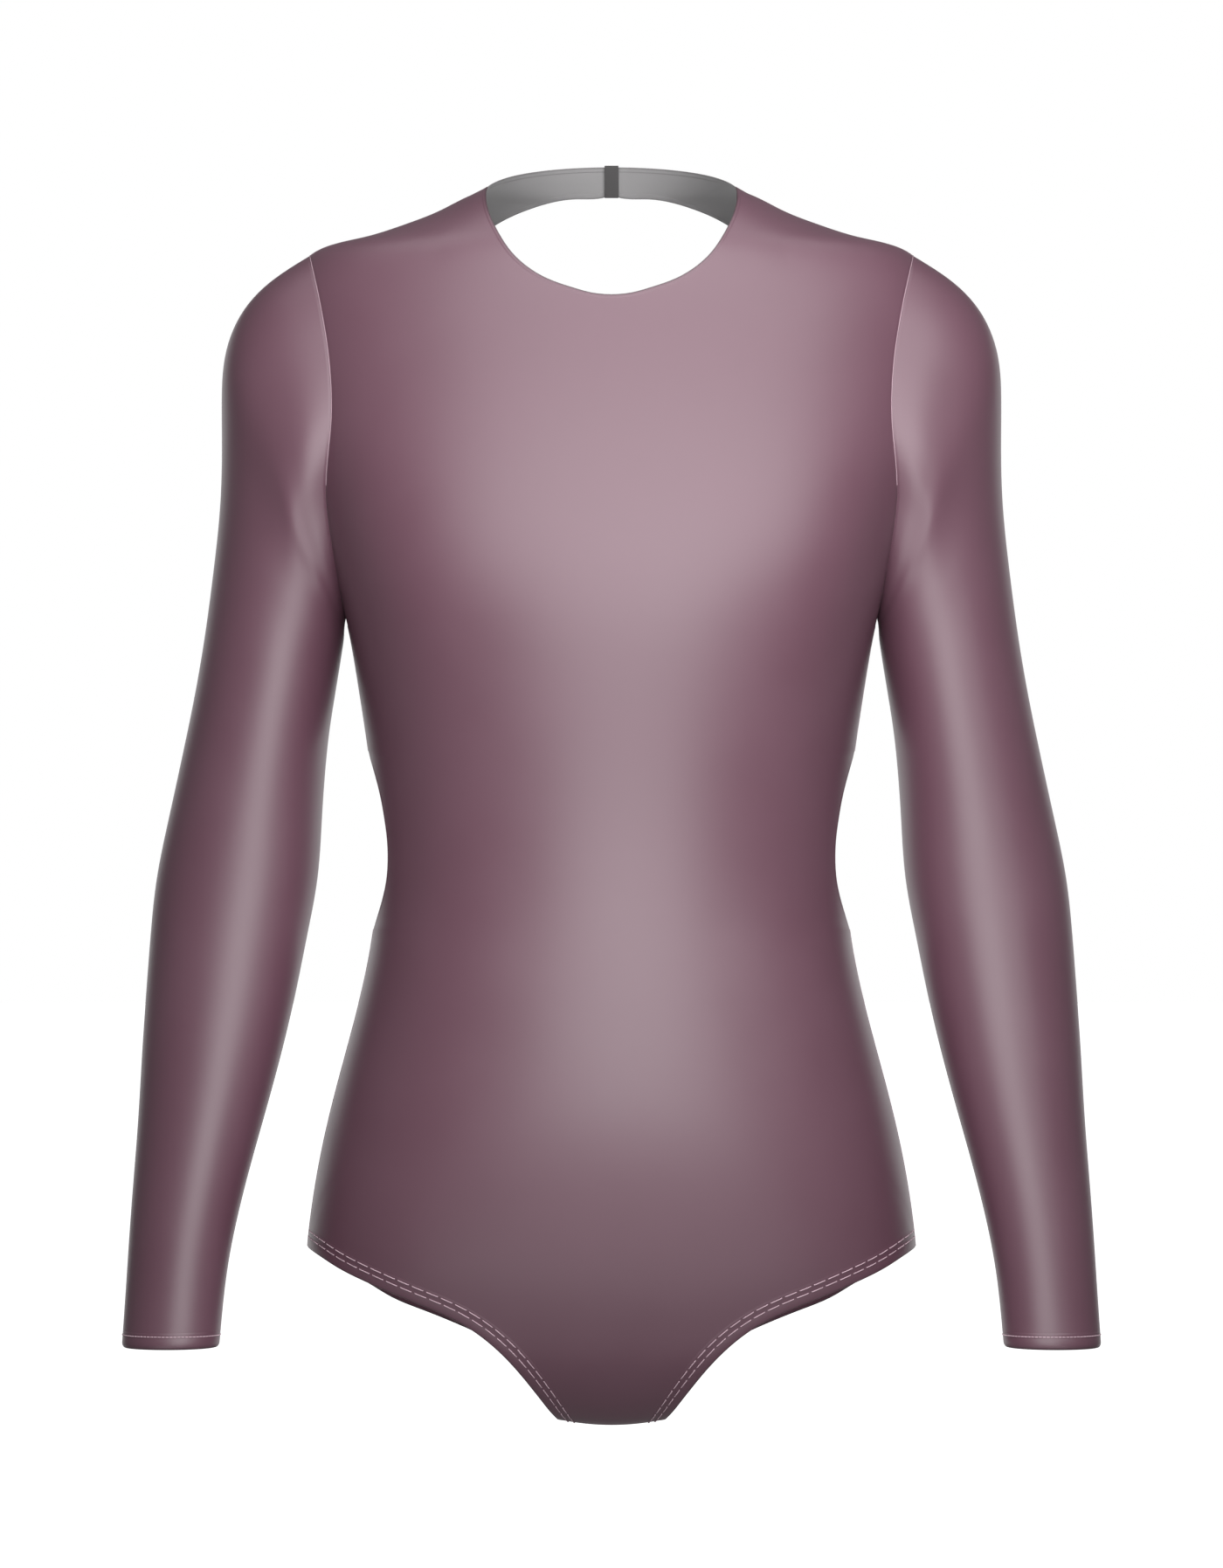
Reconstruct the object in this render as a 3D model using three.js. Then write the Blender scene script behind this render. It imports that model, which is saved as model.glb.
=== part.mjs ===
// A long-sleeved dance leotard with a low open back, empty, in the shape it has when it is worn.
//
// The cloth is a thin stretch satin. One front panel runs from the neckline to the crotch. Two upper
// back straps run from a nape band over the shoulder blades to the side seams, one lower back panel
// covers the seat, and two sleeves are set into the armholes. A folded tape tab clasps the two ends
// of the nape band. The open back reaches round to the side seams, and nips into the front panel
// at the waist.
//
// Millimetres, +Z up. The front faces -Y and the wearer's left is +X. The origin lies midway between
// the two side neck points, where the garment hangs on the wearer's shoulders.
import * as THREE from "three";

// Cloth
const CLOTH = 1.2; // thickness of the wall
const SEAM_GAP = 0.4; // between two pieces at a seam
const MITRE_UP_TO = 0.4; // cosine of the fold past which two walls no longer share their cut

// Heights of the landmarks, below the side neck point
const NAPE_RISE = 14.6; // the nape stands above the side neck points
const NAPE_POWER = 0.9; // how soon the back neckline reaches that rise
const SHOULDER_Z = -36.3; // armhole, top
const UNDERARM_Z = -227.2; // armhole, bottom
const STRAP_TIP_Z = -297; // upper back strap ends at the side seam
const WAIST_CUT_END_Z = -391; // lower back panel starts at the side seam
const LEG_CORNER_Z = -557.5; // leg opening meets the side seam
const YOKE_Z = -173; // below this the rows of the front panel are level
const YOKE_FLARE = 0.6; // below 1, the yoke's columns leave the neckline sideways
const OPEN_BACK_DROP = 54; // centre of the lower back's top edge below its ends

// How finely each stretch is divided
const ARMHOLE_STEPS = 14;
const SHOULDER_STEPS = 5;
const FRONT_NECK_STEPS = 8;
const BACK_NECK_STEPS = 10;
const NAPE_CROWDING = 1.35; // above 1, the band's steps are shorter beside the nape tab
const STRAP_TAIL_STEPS = 4;
const STRAP_WIDTH_STEPS = 5;
const WAIST_CUT_STEPS = 6;
const SIDE_STEPS = 6;
const LEG_STEPS = 11;
const LOWER_BACK_COLUMNS = 20;
const FINE_STEPS = 300; // samples from which even distances along an edge are measured

// Level sections of the body of the garment. half_width is side to side, front and back are depths
// from the plane of the side seams, square fattens the corners of the section, and edge_rise is how
// far the crotch strip curls up STRIP_REACH off its centre line.
const STRIP_REACH = 28;
const TORSO = [
  { z: 20, half_width: 58.5, front: 44, back: 57.4, square: 0, edge_rise: 0 },
  { z: 9, half_width: 60.5, front: 47, back: 59.6, square: 0, edge_rise: 0 },
  { z: 0, half_width: 65.5, front: 51, back: 61.4, square: 0, edge_rise: 0 },
  { z: -5, half_width: 75, front: 54, back: 62.6, square: 0, edge_rise: 0 },
  { z: -12.5, half_width: 90, front: 57, back: 64.8, square: 0, edge_rise: 0 },
  { z: -20, half_width: 109, front: 60, back: 67.7, square: 0, edge_rise: 0 },
  { z: -27, half_width: 131.5, front: 62.5, back: 71.2, square: 0, edge_rise: 0 },
  { z: -36.3, half_width: 158.7, front: 66, back: 77, square: 0, edge_rise: 0 },
  { z: -52, half_width: 169, front: 71, back: 86, square: 0.005, edge_rise: 0 },
  { z: -80, half_width: 172, front: 82, back: 93, square: 0.01, edge_rise: 0 },
  { z: -115, half_width: 169, front: 96, back: 97, square: 0.02, edge_rise: 0 },
  { z: -163, half_width: 158, front: 110, back: 97, square: 0.035, edge_rise: 0 },
  { z: -195, half_width: 149, front: 113.5, back: 94, square: 0.04, edge_rise: 0 },
  { z: -227.2, half_width: 139.8, front: 112, back: 89, square: 0.04, edge_rise: 0 },
  { z: -262, half_width: 133.3, front: 106, back: 82, square: 0.03, edge_rise: 0 },
  { z: -297, half_width: 128, front: 99.5, back: 75, square: 0.02, edge_rise: 0 },
  { z: -350, half_width: 123.3, front: 93, back: 69, square: 0.015, edge_rise: 0 },
  { z: -378, half_width: 124, front: 92.5, back: 71, square: 0.015, edge_rise: 0 },
  { z: -412, half_width: 129, front: 94, back: 79, square: 0.02, edge_rise: 0 },
  { z: -447, half_width: 137.5, front: 95.5, back: 90, square: 0.02, edge_rise: 0 },
  { z: -493, half_width: 149.5, front: 95, back: 103, square: 0.02, edge_rise: 0 },
  { z: -539, half_width: 158, front: 88, back: 107, square: 0.02, edge_rise: 0 },
  { z: -575, half_width: 161, front: 77, back: 101, square: 0.01, edge_rise: 0 },
  { z: -600, half_width: 160.4, front: 65, back: 91, square: 0, edge_rise: 0 },
  { z: -620, half_width: 159.4, front: 52.3, back: 76.3, square: 0, edge_rise: 0.1 },
  { z: -632, half_width: 158.4, front: 41.5, back: 62.5, square: 0, edge_rise: 0.6 },
  { z: -640, half_width: 157.6, front: 32.3, back: 49.5, square: 0, edge_rise: 1.3 },
  { z: -645.5, half_width: 156.8, front: 23.9, back: 37, square: 0, edge_rise: 1.9 },
  { z: -649, half_width: 156, front: 16.2, back: 25.3, square: 0, edge_rise: 2.5 },
  { z: -650.8, half_width: 155.6, front: 10.2, back: 16, square: 0, edge_rise: 2.8 },
  { z: -651.7, half_width: 155.3, front: 5.1, back: 8, square: 0, edge_rise: 2.95 },
  { z: -652, half_width: 155, front: 0, back: 0, square: 0, edge_rise: 3 },
];

// Edges and seams of the panels, as seen from the front or the back
const NECKLINE = [
  { x: 0, z: -61.2 },
  { x: 4, z: -61.05 },
  { x: 10, z: -60.3 },
  { x: 20.4, z: -57.4 },
  { x: 33, z: -52.8 },
  { x: 44.4, z: -45.8 },
  { x: 52.2, z: -38.2 },
  { x: 58.5, z: -28.5 },
  { x: 63.2, z: -18.6 },
  { x: 65.8, z: -7.9 },
  { x: 65.5, z: 0 },
];
const ARMHOLE = [
  { z: -36.3, x: 158.7 },
  { z: -55, x: 154 },
  { z: -75, x: 149.9 },
  { z: -90, x: 147.5 },
  { z: -111, x: 145.7 },
  { z: -123, x: 145.6 },
  { z: -140, x: 147 },
  { z: -163, x: 148.6 },
  { z: -185, x: 146.4 },
  { z: -205, x: 143.4 },
  { z: -227.2, x: 139.8 },
];
const WAIST_CUT = [
  { z: -297, x: 128 },
  { z: -309, x: 124.2 },
  { z: -320, x: 121.2 },
  { z: -332, x: 118.9 },
  { z: -343, x: 117.4 },
  { z: -355, x: 117 },
  { z: -366, x: 118 },
  { z: -378, x: 121 },
  { z: -391, x: 125.3 },
];
const OPEN_BACK = [
  { x: 1.1, z: 3.3 },
  { x: 2.5, z: 0 },
  { x: 5.6, z: -1.2 },
  { x: 19.7, z: -2 },
  { x: 32.6, z: -4.1 },
  { x: 43.3, z: -7.5 },
  { x: 54.1, z: -12 },
  { x: 62.4, z: -16.5 },
  { x: 75, z: -26 },
  { x: 86, z: -39 },
  { x: 94, z: -56 },
  { x: 99, z: -82 },
  { x: 100.5, z: -115 },
  { x: 101.5, z: -150 },
  { x: 105, z: -190 },
  { x: 111, z: -225 },
  { x: 119.5, z: -262 },
  { x: 125, z: -283 },
  { x: 127.8, z: -296.5 },
];
// Heights on the open back that lie across from the side neck point, shoulder point and underarm
const ACROSS_FROM = { neck: -13, shoulder: -50, underarm: -222 };
const FRONT_LEG = [
  { x: 160, z: -557.5 },
  { x: 153, z: -561 },
  { x: 144, z: -566 },
  { x: 127, z: -573.8 },
  { x: 103.5, z: -583.4 },
  { x: 81, z: -593 },
  { x: 59.5, z: -608.5 },
  { x: 43.8, z: -627.5 },
  { x: 34, z: -643 },
  { x: 28, z: -652 },
];
const BACK_LEG = [
  { x: 160, z: -557.5 },
  { x: 150, z: -568 },
  { x: 130, z: -581 },
  { x: 118, z: -588.7 },
  { x: 101.5, z: -596 },
  { x: 84.5, z: -603 },
  { x: 60, z: -615.5 },
  { x: 44, z: -629.5 },
  { x: 34, z: -643 },
  { x: 28, z: -652 },
];

// Rings of the left sleeve. Each ring stands on a line from its outer to its inner point, as seen
// from the front, and has its own depth from front to back about the line y = centre_y.
const SLEEVE = [
  { outer_x: 158.7, outer_z: -36.3, inner_x: 139.8, inner_z: -227.2, centre_y: 3, half_depth: 50 },
  { outer_x: 180, outer_z: -50.5, inner_x: 140.2, inner_z: -229.2, centre_y: 2, half_depth: 50 },
  { outer_x: 195.5, outer_z: -68, inner_x: 140.5, inner_z: -231.4, centre_y: 2, half_depth: 49 },
  { outer_x: 203.6, outer_z: -90, inner_x: 140.7, inner_z: -233.8, centre_y: 2, half_depth: 47.5 },
  { outer_x: 205.3, outer_z: -115, inner_x: 140.9, inner_z: -236.6, centre_y: 3, half_depth: 46 },
  { outer_x: 205.3, outer_z: -143, inner_x: 141.3, inner_z: -240, centre_y: 4, half_depth: 44.5 },
  { outer_x: 206.5, outer_z: -171, inner_x: 142.1, inner_z: -245, centre_y: 5, half_depth: 43.2 },
  { outer_x: 209.6, outer_z: -200, inner_x: 143.5, inner_z: -253.5, centre_y: 6.5, half_depth: 42.2 },
  { outer_x: 214, outer_z: -233, inner_x: 146.1, inner_z: -269, centre_y: 8, half_depth: 41.5 },
  { outer_x: 219.6, outer_z: -266, inner_x: 149.1, inner_z: -288.5, centre_y: 9.5, half_depth: 41 },
  { outer_x: 226.2, outer_z: -298, inner_x: 151.4, inner_z: -311, centre_y: 11, half_depth: 40.7 },
  { outer_x: 233.2, outer_z: -330, inner_x: 153, inner_z: -335, centre_y: 12, half_depth: 40.5 },
  { outer_x: 239.7, outer_z: -362, inner_x: 155.2, inner_z: -364, centre_y: 11.5, half_depth: 40 },
  { outer_x: 243, outer_z: -392, inner_x: 160.3, inner_z: -393, centre_y: 9, half_depth: 39.2 },
  { outer_x: 245.3, outer_z: -425, inner_x: 166.6, inner_z: -425, centre_y: 4.5, half_depth: 38 },
  { outer_x: 247.2, outer_z: -458, inner_x: 174.2, inner_z: -458, centre_y: -1.5, half_depth: 36 },
  { outer_x: 248.8, outer_z: -491, inner_x: 183, inner_z: -491, centre_y: -8, half_depth: 33.2 },
  { outer_x: 250.9, outer_z: -523, inner_x: 191.6, inner_z: -523, centre_y: -15, half_depth: 30 },
  { outer_x: 252.9, outer_z: -555, inner_x: 198.8, inner_z: -555, centre_y: -21.5, half_depth: 27 },
  { outer_x: 254.4, outer_z: -582, inner_x: 202.7, inner_z: -582, centre_y: -26.5, half_depth: 25 },
  { outer_x: 256, outer_z: -608.3, inner_x: 205, inner_z: -608.3, centre_y: -31, half_depth: 24.2 },
];
const SLEEVE_CAP_ROWS = 6; // rings over which the armhole's own shape fades into plain ovals
const SLEEVE_SPLIT = 1; // rings of the finished sleeve for each row of the table

// Nape tab, a tape folded round both ends of the band
const TAB = { width: 7.4, height: 17, leaf: 0.9, slot: 1.8, web: 1.6, over_top: 1.2 };

const CLOTH_FINISH = { color: 0x6e4f5b, roughness: 0.42, metalness: 0 };
const TAB_FINISH = { color: 0x4c4a4b, roughness: 0.7, metalness: 0 };

/** A smooth curve through rising knots: natural cubic spline, as a function of the knot variable. */
function splineThrough(knots, values) {
  const last = knots.length - 1;
  const bend = new Array(knots.length).fill(0);
  const sweep = new Array(knots.length).fill(0);
  for (let i = 1; i < last; i++) {
    const before = knots[i] - knots[i - 1];
    const after = knots[i + 1] - knots[i];
    const turn = (values[i + 1] - values[i]) / after - (values[i] - values[i - 1]) / before;
    const pivot = 2 * (before + after) - before * sweep[i - 1];
    sweep[i] = after / pivot;
    bend[i] = (6 * turn - before * bend[i - 1]) / pivot;
  }
  for (let i = last - 1; i > 0; i--) bend[i] -= sweep[i] * bend[i + 1];
  return (at) => {
    let i = 0;
    while (i < last - 1 && at > knots[i + 1]) i++;
    const step = knots[i + 1] - knots[i];
    const b = (at - knots[i]) / step;
    const a = 1 - b;
    const cubic = ((a ** 3 - a) * bend[i] + (b ** 3 - b) * bend[i + 1]) * step * step;
    return a * values[i] + b * values[i + 1] + cubic / 6;
  };
}

/** Every column of a table as a spline over the running length of two of its columns. */
function tableCurve(rows, across, along) {
  const length = [0];
  for (let i = 1; i < rows.length; i++) {
    const step = Math.hypot(rows[i][across] - rows[i - 1][across], rows[i][along] - rows[i - 1][along]);
    length.push(length[i - 1] + step);
  }
  const columns = Object.keys(rows[0]).map((name) => [
    name,
    splineThrough(length, rows.map((row) => row[name])),
  ]);
  const end = length[length.length - 1];
  return {
    end,
    at: (s) => Object.fromEntries(columns.map(([name, curve]) => [name, curve(s)])),
    value: (name, s) => columns.find(([column]) => column === name)[1](s),
  };
}

/** The place between low and high where a falling function reaches a value. */
function whereFalling(falling, value, low, high) {
  for (let i = 0; i < 50; i++) {
    const middle = (low + high) / 2;
    if (falling(middle) > value) low = middle;
    else high = middle;
  }
  return (low + high) / 2;
}

const torsoCurve = tableCurve(TORSO, "half_width", "z");
const levelOf = (z) => whereFalling((s) => torsoCurve.value("z", s), z, 0, torsoCurve.end);

/** Side to side share of a section at an angle from the side seam. */
const sectionAcross = (angle, square) =>
  (Math.cos(angle) - square * Math.cos(3 * angle)) / (1 - square);

/** Front to back share of a section at an angle from the side seam. */
const sectionDeep = (angle, square) =>
  (Math.sin(angle) + square * Math.sin(3 * angle)) / (1 - square);

/** A point of the outside of the body. Angles above zero are on the front, below zero on the back. */
function torsoPoint({ angle, level }) {
  const row = torsoCurve.at(level);
  const deep = sectionDeep(angle, row.square);
  const x = row.half_width * sectionAcross(angle, row.square);
  const y = -deep * (deep > 0 ? row.front : row.back);
  return new THREE.Vector3(x, y, row.z + row.edge_rise * (x / STRIP_REACH) ** 2);
}

/** The outward direction of a surface from points a small step away on each side. */
function normalFrom(surface, at, steps) {
  const [first, second] = steps.map((step) => {
    const ahead = { ...at };
    const behind = { ...at };
    for (const key of Object.keys(step)) {
      ahead[key] += step[key];
      behind[key] -= step[key];
    }
    return surface(ahead).sub(surface(behind));
  });
  return first.cross(second).normalize();
}

function torsoNormal({ angle, level }) {
  const inside = Math.min(Math.max(level, 0.6), torsoCurve.end - 0.6);
  return normalFrom(torsoPoint, { angle, level: inside }, [{ angle: 0.004 }, { level: 0.5 }]);
}

/** The angle from the side seam at which a section is x wide, on the front (1) or the back (-1). */
function angleAt(x, level, face) {
  const row = torsoCurve.at(level);
  const share = Math.min(Math.abs(x) / row.half_width, 1);
  const angle = whereFalling((t) => sectionAcross(t, row.square), share, 0, Math.PI / 2);
  return share >= 1 ? 0 : face * angle;
}

/** A point given by x and z, as an angle and a level of the body. */
function placeOn(x, z, face) {
  const level = levelOf(z);
  return { angle: angleAt(x, level, face), level };
}

/** Where a place on the front is seen from in front and above: its x, and how far down it lies. */
function seenFromAbove(place) {
  const { x, y, z } = torsoPoint(place);
  return { x, drop: -z - y };
}

/** The place on the front that is seen there. */
function placeSeenFromAbove(x, drop) {
  const height = (level) => -seenFromAbove({ angle: angleAt(x, level, 1), level }).drop;
  const level = whereFalling(height, -drop, 0, torsoCurve.end);
  return { angle: angleAt(x, level, 1), level };
}

/** A table of x and z as a function of z. */
function edgeByHeight(rows) {
  const downwards = rows.map((row) => -row.z);
  const curve = splineThrough(downwards, rows.map((row) => row.x));
  return (z) => curve(-z);
}

const armholeX = edgeByHeight(ARMHOLE);
const waistCutX = edgeByHeight(WAIST_CUT);

const between = (a, b, share) => a + (b - a) * share;
const spread = (count, from, to) =>
  Array.from({ length: count + 1 }, (_, i) => between(from, to, i / count));
const blendPlaces = (a, b, share) => ({
  angle: between(a.angle, b.angle, share),
  level: between(a.level, b.level, share),
});

/** Places at even distances along an edge of the body, given as a function of 0 to 1. */
function evenPlaces(placeAt, count) {
  const fine = spread(FINE_STEPS, 0, 1).map(placeAt);
  const points = fine.map(torsoPoint);
  const length = [0];
  for (let i = 1; i <= FINE_STEPS; i++) {
    length.push(length[i - 1] + points[i].distanceTo(points[i - 1]));
  }
  return spread(count, 0, length[FINE_STEPS]).map((s) => {
    const i = Math.max(1, length.findIndex((reached) => reached >= s - 1e-9));
    return blendPlaces(fine[i - 1], fine[i], (s - length[i - 1]) / (length[i] - length[i - 1]));
  });
}

/** Armhole heights, closer together at its top and bottom, as a sleeve's ring has them. */
const armholeHeights = Array.from({ length: ARMHOLE_STEPS + 1 }, (_, i) =>
  between(SHOULDER_Z, UNDERARM_Z, (1 - Math.cos((Math.PI * i) / ARMHOLE_STEPS)) / 2),
);
const armholePlaces = (face) =>
  armholeHeights.map((z, i) => {
    const atEnd = i === 0 || i === ARMHOLE_STEPS;
    return atEnd ? { angle: 0, level: levelOf(z) } : placeOn(armholeX(z), z, face);
  });
const shoulderPlaces = spread(SHOULDER_STEPS, levelOf(0), levelOf(SHOULDER_Z)).map((level) => ({
  angle: 0,
  level,
}));

// Sleeve surface

const sleeveCurves = (() => {
  const knots = SLEEVE.map((_, i) => i);
  const names = Object.keys(SLEEVE[0]);
  return names.map((name) => [name, splineThrough(knots, SLEEVE.map((row) => row[name]))]);
})();

/** A plain oval ring of the left sleeve. Turn 0 is on its outer line and a quarter turn in front. */
function sleeveOval({ turn, row }) {
  const ring = Object.fromEntries(sleeveCurves.map(([name, curve]) => [name, curve(row)]));
  const share = (1 - Math.cos(turn)) / 2;
  return new THREE.Vector3(
    between(ring.outer_x, ring.inner_x, share),
    ring.centre_y - ring.half_depth * Math.sin(turn),
    between(ring.outer_z, ring.inner_z, share),
  );
}

/** The armhole at a turn of the sleeve's ring, a point of the body. */
function armholePoint(turn) {
  const z = between(SHOULDER_Z, UNDERARM_Z, (1 - Math.cos(turn)) / 2);
  const face = Math.sin(turn) >= 0 ? 1 : -1;
  const atEnd = Math.abs(Math.sin(turn)) < 1e-6;
  return torsoPoint(atEnd ? { angle: 0, level: levelOf(z) } : placeOn(armholeX(z), z, face));
}

/** A point of the outside of the left sleeve. */
function sleevePoint({ turn, row }) {
  const oval = sleeveOval({ turn, row });
  if (row >= SLEEVE_CAP_ROWS) return oval;
  const left = 1 - row / SLEEVE_CAP_ROWS;
  const fade = left * left * (3 - 2 * left);
  const seam = armholePoint(turn).sub(sleeveOval({ turn, row: 0 }));
  return oval.addScaledVector(seam, fade);
}

const lastSleeveRow = SLEEVE.length - 1;

function sleeveNormal({ turn, row }) {
  const inside = Math.min(Math.max(row, 0.06), lastSleeveRow - 0.06);
  return normalFrom(sleevePoint, { turn, row: inside }, [{ turn: 0.01 }, { row: 0.05 }]);
}

/** Directions in which the walls are cut at the armhole seam: shared, except in its sharp fold. */
function armholeNormals(turn, place) {
  const body = torsoNormal(place);
  const sleeve = sleeveNormal({ turn, row: 0 });
  const middle = body.clone().add(sleeve).normalize();
  const shared = THREE.MathUtils.clamp(body.dot(sleeve) / MITRE_UP_TO, 0, 1);
  return {
    body: body.lerp(middle, shared).normalize(),
    sleeve: sleeve.lerp(middle, shared).normalize(),
  };
}

/** How far each wall stands back at the underarm, where the two lie face to face. */
function sideways(turn, place) {
  const facing = -torsoNormal(place).dot(sleeveNormal({ turn, row: 0 }));
  return (SEAM_GAP / 2) * THREE.MathUtils.clamp(facing, 0, 1);
}

// Walls

/**
 * Cloth as a closed wall: rows of outside points with outward normals, open or closed round. On a
 * symmetrical panel the faces of the right half mirror those of the left half.
 */
function wallGeometry(rows, { closedRound = false, symmetrical = false } = {}) {
  const rowCount = rows.length;
  const columnCount = rows[0].length;
  const positions = [];
  for (const layer of [0, -CLOTH]) {
    for (const row of rows) {
      for (const { point, normal } of row) {
        positions.push(...point.clone().addScaledVector(normal, layer).toArray());
      }
    }
  }
  const layerSize = rowCount * columnCount;
  const outer = (i, j) => i * columnCount + (j % columnCount);
  const inner = (i, j) => layerSize + outer(i, j);
  const faces = [];
  const quad = (a, b, c, d) => faces.push(a, b, c, a, c, d);
  const spans = closedRound ? columnCount : columnCount - 1;
  for (let i = 0; i < rowCount - 1; i++) {
    for (let j = 0; j < spans; j++) {
      const out = [outer(i, j), outer(i, j + 1), outer(i + 1, j + 1), outer(i + 1, j)];
      const back = [inner(i + 1, j), inner(i + 1, j + 1), inner(i, j + 1), inner(i, j)];
      if (symmetrical && j >= spans / 2) {
        out.push(out.shift());
        back.push(back.shift());
      }
      quad(...out);
      quad(...back);
    }
  }
  for (let j = 0; j < spans; j++) {
    quad(outer(0, j + 1), outer(0, j), inner(0, j), inner(0, j + 1));
    const end = rowCount - 1;
    quad(outer(end, j), outer(end, j + 1), inner(end, j + 1), inner(end, j));
  }
  if (!closedRound) {
    for (let i = 0; i < rowCount - 1; i++) {
      quad(outer(i, 0), outer(i + 1, 0), inner(i + 1, 0), inner(i, 0));
      const end = columnCount - 1;
      quad(outer(i + 1, end), outer(i, end), inner(i, end), inner(i + 1, end));
    }
  }
  const geometry = new THREE.BufferGeometry();
  geometry.setAttribute("position", new THREE.Float32BufferAttribute(positions, 3));
  geometry.setIndex(faces);
  geometry.computeVertexNormals();
  return geometry;
}

/** Draws an edge of a grid back by half a seam gap, square to the edge and towards the next points. */
function trimEdge(edge, next, closedRound = false) {
  const last = edge.length - 1;
  const whole = edge.map(({ point }) => point.clone());
  edge.forEach((vertex, i) => {
    const before = whole[closedRound ? (i + last) % edge.length : Math.max(i - 1, 0)];
    const after = whole[closedRound ? (i + 1) % edge.length : Math.min(i + 1, last)];
    const along = after.clone().sub(before).normalize();
    const inwards = next[i].point.clone().sub(whole[i]);
    inwards.addScaledVector(along, -inwards.dot(along)).normalize();
    vertex.point.addScaledVector(inwards, SEAM_GAP / 2);
  });
}

const columnOf = (grid, j) => grid.map((row) => row[j]);

function trimSides(grid) {
  const last = grid[0].length - 1;
  trimEdge(columnOf(grid, 0), columnOf(grid, 1));
  trimEdge(columnOf(grid, last), columnOf(grid, last - 1));
}

function trimEnds(grid) {
  trimEdge(grid[0], grid[1]);
  trimEdge(grid[grid.length - 1], grid[grid.length - 2]);
}

const onTorso = (place) => ({ point: torsoPoint(place), normal: torsoNormal(place) });

/** A row of places and its mirror image, from the left side across the middle to the right side. */
function mirroredRow(half, face) {
  const middle = (face * Math.PI) / 2;
  const other = half.slice(0, -1).map((place) => ({ ...place, angle: 2 * middle - place.angle }));
  return [...half, ...other.reverse()];
}

// Panels

/** The front panel: one piece from the neckline and shoulder seams to the crotch. */
function frontPanel() {
  const steps = FRONT_NECK_STEPS + SHOULDER_STEPS;
  const neck = tableCurve(NECKLINE, "x", "z");
  const neckPlace = (u) => {
    if (u === 0) return { angle: 0, level: levelOf(0) };
    const { x, z } = neck.at(neck.end * (1 - u * u));
    return placeOn(u === 1 ? 0 : x, z, 1);
  };
  const neckPlaces = evenPlaces(neckPlace, FRONT_NECK_STEPS);
  const top = [...shoulderPlaces.slice(1).reverse(), ...neckPlaces];
  const armhole = armholePlaces(1);
  const lowest = armhole.findIndex(({ level }) => level > levelOf(YOKE_Z));
  const levelRow = (side, level) =>
    spread(steps, 0, 1).map((share) => ({ angle: between(side, Math.PI / 2, share), level }));
  const foot = levelRow(armhole[lowest].angle, armhole[lowest].level);

  // The yoke is laid out as it is seen from in front and above, where none of it is hidden.
  const topSeen = top.map(seenFromAbove);
  const footSeen = foot.map(seenFromAbove);
  const rows = armhole.map((side, k) => {
    if (k === 0) return top;
    if (k >= lowest) return levelRow(side.angle, side.level);
    const sideSeen = seenFromAbove(side);
    const down = (sideSeen.drop - topSeen[0].drop) / (footSeen[0].drop - topSeen[0].drop);
    const across = down ** YOKE_FLARE;
    const bulge = sideSeen.x - between(topSeen[0].x, footSeen[0].x, across);
    return top.map((_, i) => {
      if (i === 0) return side;
      const x = between(topSeen[i].x, footSeen[i].x, across) + bulge * (1 - i / steps);
      return placeSeenFromAbove(i === steps ? 0 : x, between(topSeen[i].drop, footSeen[i].drop, down));
    });
  });
  const armholeRows = rows.length;
  const addRows = (count, fromZ, toZ, sideX) => {
    for (const z of spread(count, fromZ, toZ).slice(1)) {
      const level = levelOf(z);
      rows.push(levelRow(sideX && z !== toZ ? angleAt(sideX(z), level, 1) : 0, level));
    }
  };
  addRows(STRAP_TAIL_STEPS, UNDERARM_Z, STRAP_TIP_Z);
  addRows(WAIST_CUT_STEPS, STRAP_TIP_Z, WAIST_CUT_END_Z, waistCutX);
  rows.push(...hipRows(FRONT_LEG, 1, steps, WAIST_CUT_END_Z).slice(1));

  const grid = rows.map((row) => mirroredRow(row, 1).map(onTorso));
  mitreArmhole(grid.slice(0, armholeRows), armhole, 0, 1);
  mitreArmhole(grid.slice(0, armholeRows), armhole, grid[0].length - 1, -1);
  levelCrotch(grid[grid.length - 1]);
  trimSides(grid);
  trimEnds(grid);
  return wallGeometry(grid, { symmetrical: true });
}

/** Turns the cut faces of a column along the armhole to match the sleeve's. */
function mitreArmhole(rows, places, column, side) {
  const face = Math.sign(places[1].angle);
  rows.forEach((row, k) => {
    const turn = (face * Math.PI * k) / ARMHOLE_STEPS;
    const normal = armholeNormals(turn, places[k]).body.clone();
    normal.x *= side;
    row[column].normal = normal;
    row[column].point.addScaledVector(normal, -sideways(turn, places[k]));
  });
}

/** Turns the cut faces of a panel's foot to lie across the crotch seam. */
function levelCrotch(row) {
  for (const { normal } of row) normal.setY(0).normalize();
}

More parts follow.
